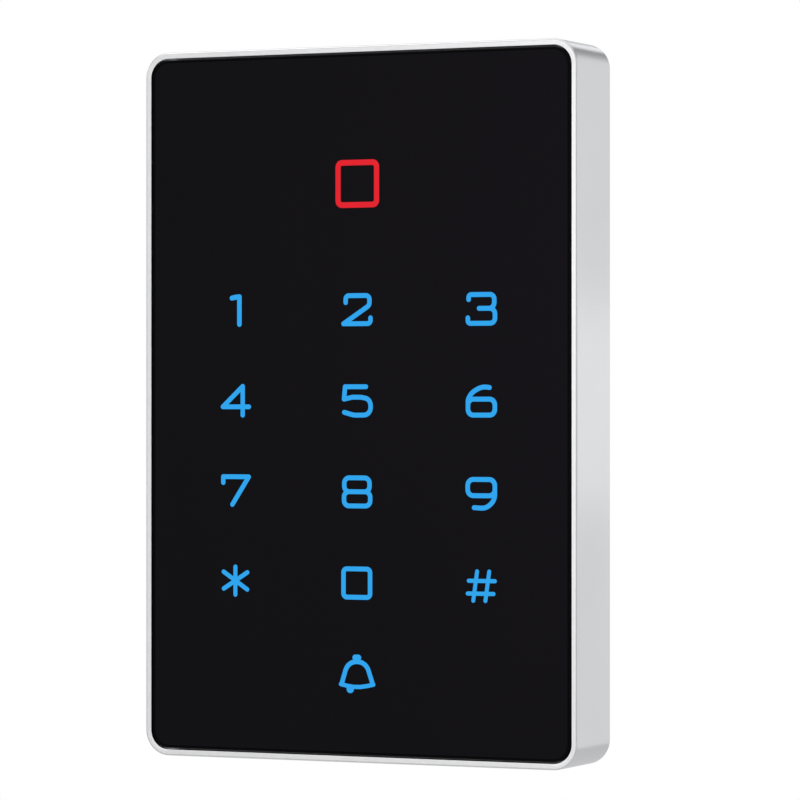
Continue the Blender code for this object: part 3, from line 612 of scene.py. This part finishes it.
def build_housing():
    """The visible metal frame with its screw columns, pads, boss, bores and polished lip."""
    shell = housing_shell()
    column_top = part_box("rear_seal")[1].y
    pad_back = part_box("main_board")[0].y + 0.4 * MM
    column = ((COLUMN_RADIUS, LEDGE_BACK - 0.6 * MM), (COLUMN_RADIUS, SHOULDER_Y),
              (COLUMN_NECK_RADIUS, SHOULDER_Y), (COLUMN_NECK_RADIUS, column_top))
    pad = ((PAD_RADIUS, LEDGE_FRONT + 0.2 * MM), (PAD_RADIUS, pad_back))
    additions = []
    for number in range(1, 5):
        additions.append(turned_at(f"cover_screw_{number}", "column", column, 32))
        additions.append(turned_at(f"board_screw_{number}", "pad", pad, 32))
    screw_low, screw_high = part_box("security_screw")
    screw_y = (screw_low.y + screw_high.y) / 2
    boss_top = screw_high.z - 0.4 * MM
    boss_low = (-BOSS_HALF, LEDGE_BACK - 0.5 * MM, BOTTOM + SIDE_WALL / 2)
    additions.append(block("boss", boss_low, (BOSS_HALF, REAR_Y - 0.3 * MM, boss_top)))
    combine(shell, additions, "UNION")

    column_hole = ((PILOT_RADIUS, LEDGE_BACK + 0.8 * MM), (PILOT_RADIUS, column_top + OVERCUT))
    pad_hole = ((PILOT_RADIUS, LEDGE_FRONT + 0.6 * MM), (PILOT_RADIUS, pad_back + OVERCUT))
    cuts = []
    for number in range(1, 5):
        cuts.append(turned_at(f"cover_screw_{number}", "pilot", column_hole, 24))
        cuts.append(turned_at(f"board_screw_{number}", "pilot", pad_hole, 24))
    bore = ((BORE_MOUTH, BOTTOM - OVERCUT), (BORE_MOUTH, BOTTOM), (BORE_RADIUS, BOTTOM + 0.35 * MM),
            (BORE_RADIUS, boss_top - 1.0 * MM), (THREAD_BORE, boss_top - 1.0 * MM),
            (THREAD_BORE, boss_top + OVERCUT))
    cuts.append(turned("bore", bore, (0.0, screw_y), "Z"))
    drain = ((DRAIN_MOUTH, BOTTOM - OVERCUT), (DRAIN_MOUTH, BOTTOM), (DRAIN_RADIUS, BOTTOM + 0.2 * MM),
             (DRAIN_RADIUS, BOTTOM + 4.0 * MM))
    for side in (-1, 1):
        cuts.append(turned("drain", drain, (side * DRAIN_PLACE, screw_y), "Z", 24))
    combine(shell, cuts, "DIFFERENCE")

    dress(shell, "reader", "satin_housing", "housing_frame")
    polish_lip(shell)
    even_normals(shell)


def polish_lip(shell):
    """Polish the lip's flat front and its inner arris; its outer round stays satin."""
    shell.data.materials.append(MATERIALS["polished_lip"])
    for face in shell.data.polygons:
        outward = face.normal.dot(Vector((face.center.x, 0.0, face.center.z))) > 0.0
        rounded = outward and face.normal.y > -0.998
        if face.center.y < FRONT_Y + 0.9 * LIP_ROUND and not rounded:
            face.material_index = 1


def build_glass():
    """The flush front glass, its arris ground to a small round, with a band of painted shade along its edge.
    """
    shape = bmesh.new()
    profile = [(GLASS_EDGE + EDGE_SHADE_WIDTH, GLASS_FRONT)]
    steps = 5
    for step in range(steps + 1):
        angle = math.pi / 2 * step / steps
        inset = GLASS_EDGE + GLASS_ROUND * (1 - math.sin(angle))
        profile.append((inset, GLASS_FRONT + GLASS_ROUND * (1 - math.cos(angle))))
    profile += [(GLASS_EDGE, GLASS_HIGH.y - GLASS_BACK_ROUND), (GLASS_EDGE + GLASS_BACK_ROUND, GLASS_HIGH.y)]
    add_rings(shape, [housing_ring(inset, y) for inset, y in profile])
    glass = finish_mesh("front_glass", shape)
    dress(glass, "reader", "black_glass", "touch_glass")
    # The edge faces get the painted shade, a blacker band where the glass meets the lip.
    glass.data.materials.append(MATERIALS["glass_edge_shade"])
    for face in glass.data.polygons:
        if len(face.vertices) == 4:
            face.material_index = 1
    even_normals(glass)


# ---------------- lit marks


def round_corners(points):
    """A path of (x, z, corner radius) points in millimetres, its corners turned into arcs."""
    path = [Vector(points[0][:2])]
    for before, here, after in zip(points, points[1:], points[2:]):
        corner = Vector(here[:2])
        radius = here[2] if len(here) > 2 else 0.0
        back = (Vector(before[:2]) - corner).normalized()
        ahead = (Vector(after[:2]) - corner).normalized()
        if radius <= 0.0:
            path.append(corner)
            continue
        half = back.angle(ahead) / 2
        reach = radius / math.tan(half)
        start = corner + back * reach
        end = corner + ahead * reach
        centre = corner + (back + ahead).normalized() * (radius / math.sin(half))
        steps = max(3, int(math.degrees(math.pi - 2 * half) / 9))
        first = start - centre
        swing = first.angle_signed(end - centre)
        for step in range(steps + 1):
            turn = -swing * step / steps
            cosine, sine = math.cos(turn), math.sin(turn)
            x = cosine * first.x - sine * first.y
            path.append(centre + Vector((x, sine * first.x + cosine * first.y)))
    path.append(Vector(points[-1][:2]))
    return path


def arc(centre, start, end, radius, steps):
    """Points on an arc about a centre between two angles."""
    points = []
    for step in range(steps + 1):
        angle = start + (end - start) * step / steps
        points.append(centre + radius * Vector((math.cos(angle), math.sin(angle))))
    return points


def stroke_side(path, half):
    """The left-hand edge of a stroke along a path, mitred inside and rounded outside."""
    edge = []
    for i, point in enumerate(path[1:-1], 1):
        ahead = (path[i + 1] - point).normalized()
        behind = (point - path[i - 1]).normalized()
        turn = behind.angle_signed(ahead)
        first = math.atan2(behind.x, -behind.y)
        last = math.atan2(ahead.x, -ahead.y)
        if turn > 0.3:
            while last > first:
                last -= 2 * math.pi
            edge += arc(point, first, last, half, max(2, int(math.degrees(turn) / 12)))
            continue
        across = Vector((-behind.y, behind.x)) + Vector((-ahead.y, ahead.x))
        across.normalize()
        edge.append(point + across * half / math.cos(turn / 2))
    return edge


def stroke_outline(points, width):
    """The outline of a pen stroke with round ends, in millimetres."""
    path = round_corners(points)
    half = width / 2
    start_way = (path[1] - path[0]).normalized()
    end_way = (path[-1] - path[-2]).normalized()
    start_angle = math.atan2(start_way.y, start_way.x)
    end_angle = math.atan2(end_way.y, end_way.x)
    outline = arc(path[0], start_angle + 1.5 * math.pi, start_angle + 0.5 * math.pi, half, END_STEPS)
    outline += stroke_side(path, half)
    outline += arc(path[-1], end_angle + 0.5 * math.pi, end_angle - 0.5 * math.pi, half, END_STEPS)
    outline += stroke_side(path[::-1], half)
    return outline


def stroke_solid(points, place, width=STROKE):
    """A thin solid in the shape of a stroke, set on the glass."""
    shape = bmesh.new()
    outline = stroke_outline(points, width)
    rings = []
    for y in MARK_LEVELS:
        rings.append([(place[0] + p.x * MM, y, place[1] + p.y * MM) for p in outline])
    add_rings(shape, rings)
    return finish_mesh("stroke", shape)


def frame_solid(low, high, place, outer, inner, width=STROKE):
    """A thin rounded frame on the glass; low and high are corners of its stroke's middle line."""
    shape = bmesh.new()
    centre = (place[0] + (low[0] + high[0]) / 2 * MM, place[1] + (low[1] + high[1]) / 2 * MM)
    wide = (high[0] - low[0]) * MM
    tall = (high[1] - low[1]) * MM
    grow = width * MM
    front, back = MARK_LEVELS
    rings = [rounded_ring(wide + grow, tall + grow, outer * MM, y, centre, END_STEPS) for y in (front, back)]
    rings += [rounded_ring(wide - grow, tall - grow, inner * MM, y, centre, END_STEPS) for y in (back, front)]
    add_rings(shape, rings, closed=True)
    return finish_mesh("frame", shape)


def disc_solid(centre, radius, place):
    """A thin disc on the glass."""
    front, back = MARK_LEVELS
    where = (place[0] + centre[0] * MM, place[1] + centre[1] * MM)
    return turned("disc", ((radius * MM, front), (radius * MM, back)), where, steps=24)


def mark(name, solids, slot="icon_blue"):
    """Join the strokes of one mark into one piece on the reader."""
    first, rest = solids[0], solids[1:]
    first.name = name
    if rest:
        combine(first, rest, "UNION")
    first.data.name = name
    dress(first, "reader", slot)


def build_marks():
    """Digits, signs, the call bell and the status square, drawn as pen strokes in millimetres."""
    left, centre, right = COLUMN_X
    p = (left, ROW_Z[0])
    mark("mark_1", [stroke_solid(((-0.5, 2.25), (0.3, 2.42, 0.3), (0.97, 2.46), (0.97, -2.4)), p, 0.88)])
    p = (centre, ROW_Z[0])
    mark("mark_2", [stroke_solid((
        (-2.18, 1.25), (-2.18, 2.45, 0.6), (2.4, 2.45, 0.7), (2.4, 0.75, 0.9), (-2.6, -2.45),
        (2.6, -2.45, 0.6), (2.6, -1.45)), p)])
    p = (right, ROW_Z[0])
    mark("mark_3", [
        stroke_solid((
            (-2.37, 1.55), (-2.37, 2.4, 0.5), (2.44, 2.4, 0.8), (2.44, 0.02, 1.0), (-0.4, 0.02)), p),
        stroke_solid((
            (0.9, 0.02), (2.58, 0.02, 1.0), (2.58, -2.55, 0.9), (-2.52, -2.55, 0.5), (-2.52, -1.6)), p)])
    p = (left, ROW_Z[1])
    mark("mark_4", [stroke_solid(((2.85, -1.05), (-2.3, -1.05), (1.62, 2.56), (1.62, -2.52)), p)])
    p = (centre, ROW_Z[1])
    mark("mark_5", [stroke_solid((
        (1.72, 2.46), (-2.3, 2.46), (-2.5, 0.3), (-0.9, 0.64, 2.0), (0.7, 0.64, 2.2), (2.62, 0.3, 1.3),
        (2.62, -2.46, 1.3), (-0.6, -2.5, 3.0), (-2.45, -2.0)), p)])
    p = (right, ROW_Z[1])
    mark("mark_6", [
        frame_solid((-2.5, -2.45), (2.55, 0.3), p, outer=1.4, inner=0.62),
        stroke_solid(((1.55, 2.3), (0.1, 2.5, 3.0), (-1.9, 1.35, 2.5), (-2.5, 0.2, 1.0), (-2.5, -1.0)), p)])
    p = (left, ROW_Z[2])
    mark("mark_7", [stroke_solid(((-2.22, 1.45), (-2.22, 2.5), (2.82, 2.5), (-0.42, -2.4)), p)])
    p = (centre, ROW_Z[2])
    mark("mark_8", [
        frame_solid((-2.45, 0.06), (2.42, 2.48), p, outer=1.35, inner=0.55),
        frame_solid((-2.5, -2.42), (2.55, 0.06), p, outer=1.35, inner=0.55)])
    p = (right, ROW_Z[2])
    mark("mark_9", [
        frame_solid((-2.55, -0.42), (2.55, 2.38), p, outer=1.45, inner=0.65),
        stroke_solid(((2.55, 1.0), (2.55, -1.2, 2.2), (0.9, -2.6, 2.2), (-1.35, -2.48)), p)])
    p = (left, ROW_Z[3])
    mark("mark_star", [
        stroke_solid(((0.18, 2.5), (0.18, -2.4)), p, THIN_STROKE),
        stroke_solid(((-2.15, 1.6), (2.52, -1.47)), p, THIN_STROKE),
        stroke_solid(((2.55, 1.55), (-2.12, -1.38)), p, THIN_STROKE)])
    p = (centre, ROW_Z[3])
    mark("mark_0", [frame_solid((-2.6, -2.44), (2.52, 2.5), p, outer=1.05, inner=0.25)])
    p = (right, ROW_Z[3])
    thin = THIN_STROKE - 0.06
    mark("mark_hash", [
        stroke_solid(((-0.78, 2.45), (-1.5, -2.6)), p, thin),
        stroke_solid(((1.5, 2.45), (0.78, -2.6)), p, thin),
        stroke_solid(((-2.35, 0.82), (2.55, 0.82)), p, thin),
        stroke_solid(((-2.55, -1.38), (2.3, -1.38)), p, thin)])
    build_bell((centre, ROW_Z[4]))
    square = [frame_solid((-3.7, -3.7), (3.72, 3.68), STATUS_PLACE, outer=1.25, inner=0.32, width=0.99)]
    mark("mark_status", square, "icon_red")


def build_bell(place):
    """The call key: a bell's outline with its knob above and its clapper below."""
    body = ((-2.95, -1.75), (-1.72, 2.14, 2.25), (1.72, 2.14, 2.25), (3.02, -1.7))
    rim = ((-3.12, -1.85), (0.0, -2.5, 9.0), (3.18, -1.78))
    mark("mark_bell", [
        stroke_solid(body, place, 0.84),
        stroke_solid(rim, place, 0.73),
        stroke_solid(((-0.34, 2.84), (0.28, 2.84)), place, 1.06),
        disc_solid((-1.3, -2.68), 0.7, place)])


# ---------------- inside


def spring_path(centre, radius, start, end):
    """Points of a compression spring about Y, with its end turns closed up."""
    points = []
    for i in range(int(SPRING_TURNS * SPRING_STEPS) + 1):
        turn = i / SPRING_STEPS
        share = (turn - SPRING_CLOSED_TURNS) / (SPRING_TURNS - 2 * SPRING_CLOSED_TURNS)
        share = min(max(share, 0.0), 1.0)
        angle = 2 * math.pi * turn
        x = centre.x + radius * math.cos(angle)
        points.append((x, start + (end - start) * share, centre.z + radius * math.sin(angle)))
    return points


def build_spring(name, wire_radius):
    """A wound spring that fills the box of its CAD node's plain sleeve."""
    low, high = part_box(name)
    radius = (high.x - low.x) / 2 - wire_radius
    path = spring_path(middle(name), radius, low.y + wire_radius, high.y - wire_radius)
    coil = wire_tube(name + "_coil", path, wire_radius)
    dress(coil, "reader", "spring_steel", name)


def build_springs():
    """One spring for each of the thirteen keys and one for the tamper plunger."""
    for number in range(1, 14):
        build_spring(f"touch_spring_{number:02d}", TOUCH_SPRING_WIRE)
    build_spring("tamper_spring", TAMPER_SPRING_WIRE)


def build_antenna():
    """Wound card-reading loop: flat turns of enamelled wire, one inside the other, in two layers."""
    low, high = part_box("rfid_antenna")
    number = 0
    for layer in (0, 1):
        y = low.y + ANTENNA_WIRE + layer * ANTENNA_LAYER_STEP
        for turn in range(ANTENNA_TURNS):
            number += 1
            inset = ANTENNA_WIRE + turn * ANTENNA_PITCH
            width = high.x - low.x - 2 * inset
            height = high.z - low.z - 2 * inset
            ring = rounded_ring(width, height, ANTENNA_CORNER - inset, y, steps=8)
            loop = wire_tube(f"antenna_turn_{number:02d}", ring, ANTENNA_WIRE, 6, closed=True)
            replaced = ("rfid_antenna",) if number == 1 else ()
            dress(loop, "reader", "copper_wire", *replaced)


def cross_cut(place, reach, half, level, depth):
    """Two blades that cut a cross into an end face at the level, facing +Y."""
    blades = []
    for wide, tall in ((reach, half), (half, reach)):
        low = (place.x - wide, level - depth, place.z - tall)
        blades.append(block("blade", low, (place.x + wide, level + OVERCUT, place.z + tall)))
    return blades


def thread(start, end, pitch, root, crest, rise):
    """Profile points of a thread turned as rings, each ring rising to its crest and falling again."""
    points = []
    level = start
    while level < end:
        points += [(root, level), (crest, level + rise), (root, level + 2 * rise)]
        level += pitch
    return points


def build_flat_screw(name, slot, head_height, head_radius, reach, depth):
    """A screw with a domed pan head and a cross recess, pointing forwards."""
    low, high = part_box(name)
    root = 0.62 * MM
    crest = 0.84 * MM
    under = high.y - head_height
    profile = [(0.3 * MM, low.y), (root, low.y + 0.35 * MM)]
    profile += thread(low.y + 0.55 * MM, under - 0.5 * MM, 0.45 * MM, root, crest, 0.14 * MM)
    profile += [(crest, under - 0.25 * MM), (crest, under), (head_radius, under)]
    profile += round_over(head_radius, high.y, 0.32 * MM, 6)
    screw = turned_at(name, name + "_head", profile, 32)
    combine(screw, cross_cut(middle(name), reach, 0.24 * MM, high.y, depth), "DIFFERENCE")
    dress(screw, "reader", slot, name)


def build_flat_screws():
    """Four screws that hold the rear cover and four that hold the board."""
    for number in range(1, 5):
        build_flat_screw(f"cover_screw_{number}", "black_steel", 0.7 * MM, 2.2 * MM, 1.25 * MM, 0.42 * MM)
    for number in range(1, 5):
        build_flat_screw(f"board_screw_{number}", "zinc_steel", 1.2 * MM, 2.0 * MM, 1.15 * MM, 0.6 * MM)


def build_captive_screw():
    """The security screw: a rounded head with a six-sided socket, pointing up."""
    low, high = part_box("security_screw")
    place = middle("security_screw")
    head_radius = (high.x - low.x) / 2
    head_top = low.z + 1.5 * MM
    shank = 1.5 * MM
    root = 1.22 * MM
    profile = [(1.3 * MM, low.z)]
    profile += [(r, low.z + (low.z - z)) for r, z in reversed(round_over(head_radius, low.z, 0.35 * MM))]
    profile += [(head_radius, head_top), (shank, head_top), (shank, head_top + 0.9 * MM)]
    profile += thread(head_top + 1.1 * MM, high.z - 0.7 * MM, 0.5 * MM, root, 1.48 * MM, 0.18 * MM)
    profile += [(root, high.z - 0.45 * MM), (0.9 * MM, high.z)]
    screw = turned("captive_screw", profile, (place.x, place.y), "Z")
    hollow = ((1.25 * MM, low.z - OVERCUT), (1.25 * MM, low.z + 1.0 * MM))
    socket = turned("socket", hollow, (place.x, place.y), "Z", 6)
    combine(screw, [socket], "DIFFERENCE")
    dress(screw, "security_screw", "black_steel", "security_screw")


def build_washer():
    """The captive screw's washer, its outer edges rounded off."""
    low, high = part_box("screw_washer")
    place = middle("screw_washer")
    outer = (high.x - low.x) / 2
    inner = 1.8 * MM
    soft = 0.1 * MM
    profile = ((inner, low.z), (outer - soft, low.z), (outer, low.z + soft), (outer, high.z - soft),
               (outer - soft, high.z), (inner, high.z))
    washer = turned("captive_washer", profile, (place.x, place.y), "Z", closed=True)
    dress(washer, "screw_carriage", "zinc_steel", "screw_washer")


# ---------------- turned parts inside and behind


def build_grommet():
    """The cable grommet: a sleeve inside, a neck through the rear cover, and a grooved flange at the back."""
    low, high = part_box("cable_grommet")
    front = low.y
    back = high.y
    neck_start = back - 1.6 * MM - GAP
    flange_front = back - 0.4 * MM
    bore = 3.75 * MM
    neck = 5.3 * MM
    sleeve = 7.0 * MM
    flange = (high.x - low.x) / 2
    soft = 0.15 * MM
    profile = [(bore, front + 0.25 * MM), (bore + 0.25 * MM, front), (sleeve - 0.5 * MM, front),
               (sleeve - 0.1 * MM, front + 0.3 * MM), (sleeve, front + 0.7 * MM), (sleeve, neck_start),
               (neck, neck_start), (neck, flange_front), (flange, flange_front), (flange, back - soft),
               (flange - soft, back), (6.4 * MM, back), (6.2 * MM, back - 0.18 * MM), (5.9 * MM, back),
               (bore + 0.7 * MM, back), (bore + 0.2 * MM, back - 0.2 * MM), (bore, back - 0.6 * MM)]
    grommet = turned_at("cable_grommet", "grommet", profile, 64, closed=True)
    dress(grommet, "reader", "black_rubber", "cable_grommet")


def build_bushing():
    """The rubber bushing that the tamper plunger slides in."""
    low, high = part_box("plunger_bushing")
    outer = (high.x - low.x) / 2
    inner = 1.6 * MM
    soft = 0.15 * MM
    profile = ((inner, low.y + soft), (inner + soft, low.y), (outer - soft, low.y), (outer, low.y + soft),
               (outer, high.y - soft), (outer - soft, high.y), (inner + soft, high.y), (inner, high.y - soft))
    bushing = turned_at("plunger_bushing", "bushing", profile, closed=True)
    dress(bushing, "reader", "black_rubber", "plunger_bushing")


def build_plunger():
    """The tamper plunger: a collared pin with a domed rear end."""
    low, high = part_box("tamper_plunger")
    collar = (high.x - low.x) / 2
    stem = 1.3 * MM
    collar_front = low.y + 0.9 * MM
    collar_back = collar_front + 0.9 * MM
    soft = 0.12 * MM
    profile = [(stem - soft, low.y), (stem, low.y + soft), (stem, collar_front)]
    profile += [(collar - soft, collar_front), (collar, collar_front + soft)]
    profile += [(collar, collar_back - soft), (collar - soft, collar_back), (stem, collar_back)]
    profile += round_over(stem, high.y, 0.6 * MM, 6)
    pin = turned_at("tamper_plunger", "plunger_pin", profile)
    dress(pin, "plunger", "red_plastic", "tamper_plunger")


def build_capacitor(name):
    """A can on an eight-sided base, with a rolled groove and a vent cross in its end."""
    low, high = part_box(name)
    can = 3.15 * MM
    profile = ((3.4 * MM, low.y), (3.4 * MM, low.y + 0.7 * MM), (3.2 * MM, low.y + 0.85 * MM))
    base = turned_at(name, name + "_base", profile, 8)
    dress(base, "reader", "chip_resin")
    profile = [(can, low.y + 0.86 * MM), (can, low.y + 1.25 * MM), (can - 0.22 * MM, low.y + 1.5 * MM)]
    profile += [(can, low.y + 1.75 * MM)]
    profile += round_over(can, high.y, 0.3 * MM)
    shell = turned_at(name, name + "_can", profile)
    vent = 0.12 * MM
    combine(shell, cross_cut(middle(name), 2.2 * MM, vent, high.y, vent), "DIFFERENCE")
    dress(shell, "reader", "can_metal", name)


def build_buzzer():
    """The sounder: a round case with a step at its foot and a sound hole."""
    low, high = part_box("buzzer")
    foot = (high.x - low.x) / 2
    case = foot - 0.12 * MM
    profile = [(foot, low.y), (foot, low.y + 0.5 * MM), (case, low.y + 0.6 * MM)]
    profile += round_over(case, high.y, 0.4 * MM, 6)
    sounder = turned_at("buzzer", "sounder", profile)
    hollow = ((0.9 * MM, high.y - 1.2 * MM), (0.9 * MM, high.y + OVERCUT))
    combine(sounder, [turned_at("buzzer", "hole", hollow, 24)], "DIFFERENCE")
    dress(sounder, "reader", "black_plastic", "buzzer")


def build_package_leads(name, count, pitch):
    """Tinned gull-wing leads along both long sides of a package, down to the board."""
    low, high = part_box(name)
    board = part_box("main_board")[1].y
    under = board + 0.02 * MM
    half = 0.3 * pitch
    shape = bmesh.new()
    for side in (-1, 1):
        for i in range(count):
            x = (low.x + high.x) / 2 + (i - (count - 1) / 2) * pitch
            near = (low.z if side < 0 else high.z) - side * 0.1 * MM
            bend = near + side * 0.35 * MM
            toe = near + side * 0.75 * MM
            sections = []
            for z, top in ((near, low.y + 0.45 * MM), (bend, low.y + 0.35 * MM), (toe, board + 0.16 * MM)):
                sections.append(((x - half, under, z), (x + half, under, z), (x + half, top, z),
                                 (x - half, top, z)))
            add_rings(shape, sections)
    dress(finish_mesh(name + "_leads", shape), "reader", "can_metal")


def build_leads():
    """The leads of the five packages, by their number on each side and their pitch."""
    for name, count, pitch in (("processor_chip", 12, 0.65), ("touch_chip", 8, 0.65), ("rfid_chip", 6, 0.65),
                               ("voltage_regulator", 3, 1.5), ("output_relay", 4, 3.2)):
        build_package_leads(name, count, pitch * MM)


# ---------------- CAD nodes that stay


def dress_nodes():
    """Give every CAD node the material of its slot."""
    slots = {part["node"]: part["material_slot"] for part in frame["record"]["subparts"]}
    for name, obj in frame["nodes"].items():
        obj.data.materials.clear()
        obj.data.materials.append(MATERIALS[slots[name]])


def soften(name, width):
    """A small rounded arris on a CAD node that stays."""
    obj = frame["nodes"][name]
    bevel = obj.modifiers.new("arris", "BEVEL")
    bevel.width = width
    bevel.segments = 2
    bevel.limit_method = "ANGLE"
    bevel.angle_limit = ARRIS_ANGLE
    bevel.harden_normals = True


# ---------------- stage


def build_stage():
    """Pale floor far below, white surround, soft lights, and a small panel behind on the right."""
    shape = bmesh.new()
    bmesh.ops.create_circle(shape, cap_ends=True, segments=FLOOR_SIDES, radius=FLOOR_RADIUS)
    floor = finish_mesh("floor", shape)
    floor.location = (0.0, 0.0, BOTTOM - FLOOR_DROP)
    material, surface = new_material("pale_floor", (FLOOR_GREY, FLOOR_GREY, FLOOR_GREY), 0.7, 0.0)
    gloss = spread(material, noise(material, object_space(material), 9.0), 0.64, 0.74)
    wire(material, gloss, surface.inputs["Roughness"])
    floor.data.materials.append(material)

    build_world()
    for name, place, power, size, target, mirrored in LIGHTS:
        add_light(name, place, power, size, target, mirrored)


def sky_ramp(world, height, bands):
    """Grey levels by elevation, on a ramp that runs from straight down to straight up."""
    made = node(world, "ShaderNodeValToRGB")
    wire(world, height, made.inputs["Fac"])
    ramp = made.color_ramp.elements
    while len(ramp) > 1:
        ramp.remove(ramp[-1])
    for number, (degrees, value) in enumerate(bands):
        where = (math.sin(math.radians(degrees)) + 1) / 2
        stop = ramp[0] if number == 0 else ramp.new(where)
        stop.position = where
        stop.color = (value, value, value, 1.0)
    return made.outputs["Color"]


def build_world():
    """White to the camera; to the object banded skies behind and in front, and a dark flag in front."""
    world = bpy.data.worlds.new("studio")
    bpy.context.scene.world = world
    world.use_nodes = True
    world.node_tree.nodes.clear()
    place = node(world, "ShaderNodeTexCoord").outputs["Generated"]
    split = node(world, "ShaderNodeSeparateXYZ")
    wire(world, place, split.inputs["Vector"])
    height = spread(world, split.outputs["Z"], 0.0, 1.0, -1.0, 1.0)
    behind = spread(world, split.outputs["Y"], 0.0, 1.0, -SKY_BLEND, SKY_BLEND)
    front_sky, back_sky, sky = colour_mix(world, behind)
    wire(world, sky_ramp(world, height, FRONT_SKY), front_sky)
    wire(world, sky_ramp(world, height, BACK_SKY), back_sky)

    flag = node(world, "ShaderNodeMapping")
    flag.inputs["Scale"].default_value = (1 / FLAG_WIDE, 0.0, 1 / FLAG_TALL)
    flag.inputs["Location"].default_value = (-FLAG_X / FLAG_WIDE, 0.0, 0.0)
    wire(world, place, flag.inputs["Vector"])
    away = node(world, "ShaderNodeVectorMath", operation="LENGTH")
    wire(world, flag.outputs["Vector"], away.inputs[0])
    beside = spread(world, away.outputs["Value"], 0.0, 1.0, FLAG_INNER, FLAG_OUTER)
    not_ahead = spread(world, split.outputs["Y"], 0.0, 1.0, -SKY_BLEND, 0.0)
    clear = node(world, "ShaderNodeMath", operation="MAXIMUM")
    wire(world, beside, clear.inputs[0])
    wire(world, not_ahead, clear.inputs[1])
    strength = spread(world, clear.outputs["Value"], FLAG_LEVEL, SKY_LEVEL, 0.0, 1.0)

    soft = node(world, "ShaderNodeBackground")
    wire(world, sky, soft.inputs["Color"])
    wire(world, strength, soft.inputs["Strength"])
    white = node(world, "ShaderNodeBackground")
    white.inputs["Color"].default_value = (1.0, 1.0, 1.0, 1.0)
    seen = node(world, "ShaderNodeLightPath")
    choose = node(world, "ShaderNodeMixShader")
    wire(world, seen.outputs["Is Camera Ray"], choose.inputs["Fac"])
    wire(world, soft.outputs["Background"], choose.inputs[1])
    wire(world, white.outputs["Background"], choose.inputs[2])
    output = node(world, "ShaderNodeOutputWorld")
    wire(world, choose.outputs["Shader"], output.inputs["Surface"])


def add_light(name, place, power, size, target, mirrored):
    """A soft square light aimed at a target, unseen by the camera itself."""
    light = bpy.data.lights.new(name, "AREA")
    light.energy = power
    light.size = size
    obj = bpy.data.objects.new(name, light)
    bpy.context.scene.collection.objects.link(obj)
    obj.location = place
    aim = Vector(target) - Vector(place)
    obj.rotation_euler = aim.to_track_quat("-Z", "Y").to_euler()
    obj.visible_camera = False
    obj.visible_glossy = mirrored


def build_camera():
    """The camera stands to the right of the front and looks level."""
    data = bpy.data.cameras.new("camera")
    data.lens = CAMERA_FOCAL
    data.sensor_width = CAMERA_SENSOR
    data.clip_start = CAMERA_NEAR
    data.clip_end = CAMERA_FAR
    camera = bpy.data.objects.new("camera", data)
    bpy.context.scene.collection.objects.link(camera)
    sine, cosine = math.sin(CAMERA_TURN), math.cos(CAMERA_TURN)
    x = CAMERA_SIDESTEP * cosine + CAMERA_DISTANCE * sine
    y = CAMERA_SIDESTEP * sine - CAMERA_DISTANCE * cosine + REAR_Y
    camera.location = (x, y, CAMERA_RISE)
    camera.rotation_euler = (math.pi / 2, 0.0, CAMERA_TURN)
    bpy.context.scene.camera = camera
    bpy.context.scene.view_settings.view_transform = "Standard"


build_camera()
MATERIALS = make_materials()
dress_nodes()
build_housing()
build_glass()
build_marks()
build_springs()
build_antenna()
build_flat_screws()
build_captive_screw()
build_washer()
build_grommet()
build_bushing()
build_plunger()
build_capacitor("supply_capacitor_1")
build_capacitor("supply_capacitor_2")
build_buzzer()
build_leads()
soften("wall_bracket", 0.18 * MM)
soften("rear_cover", 0.12 * MM)
build_stage()
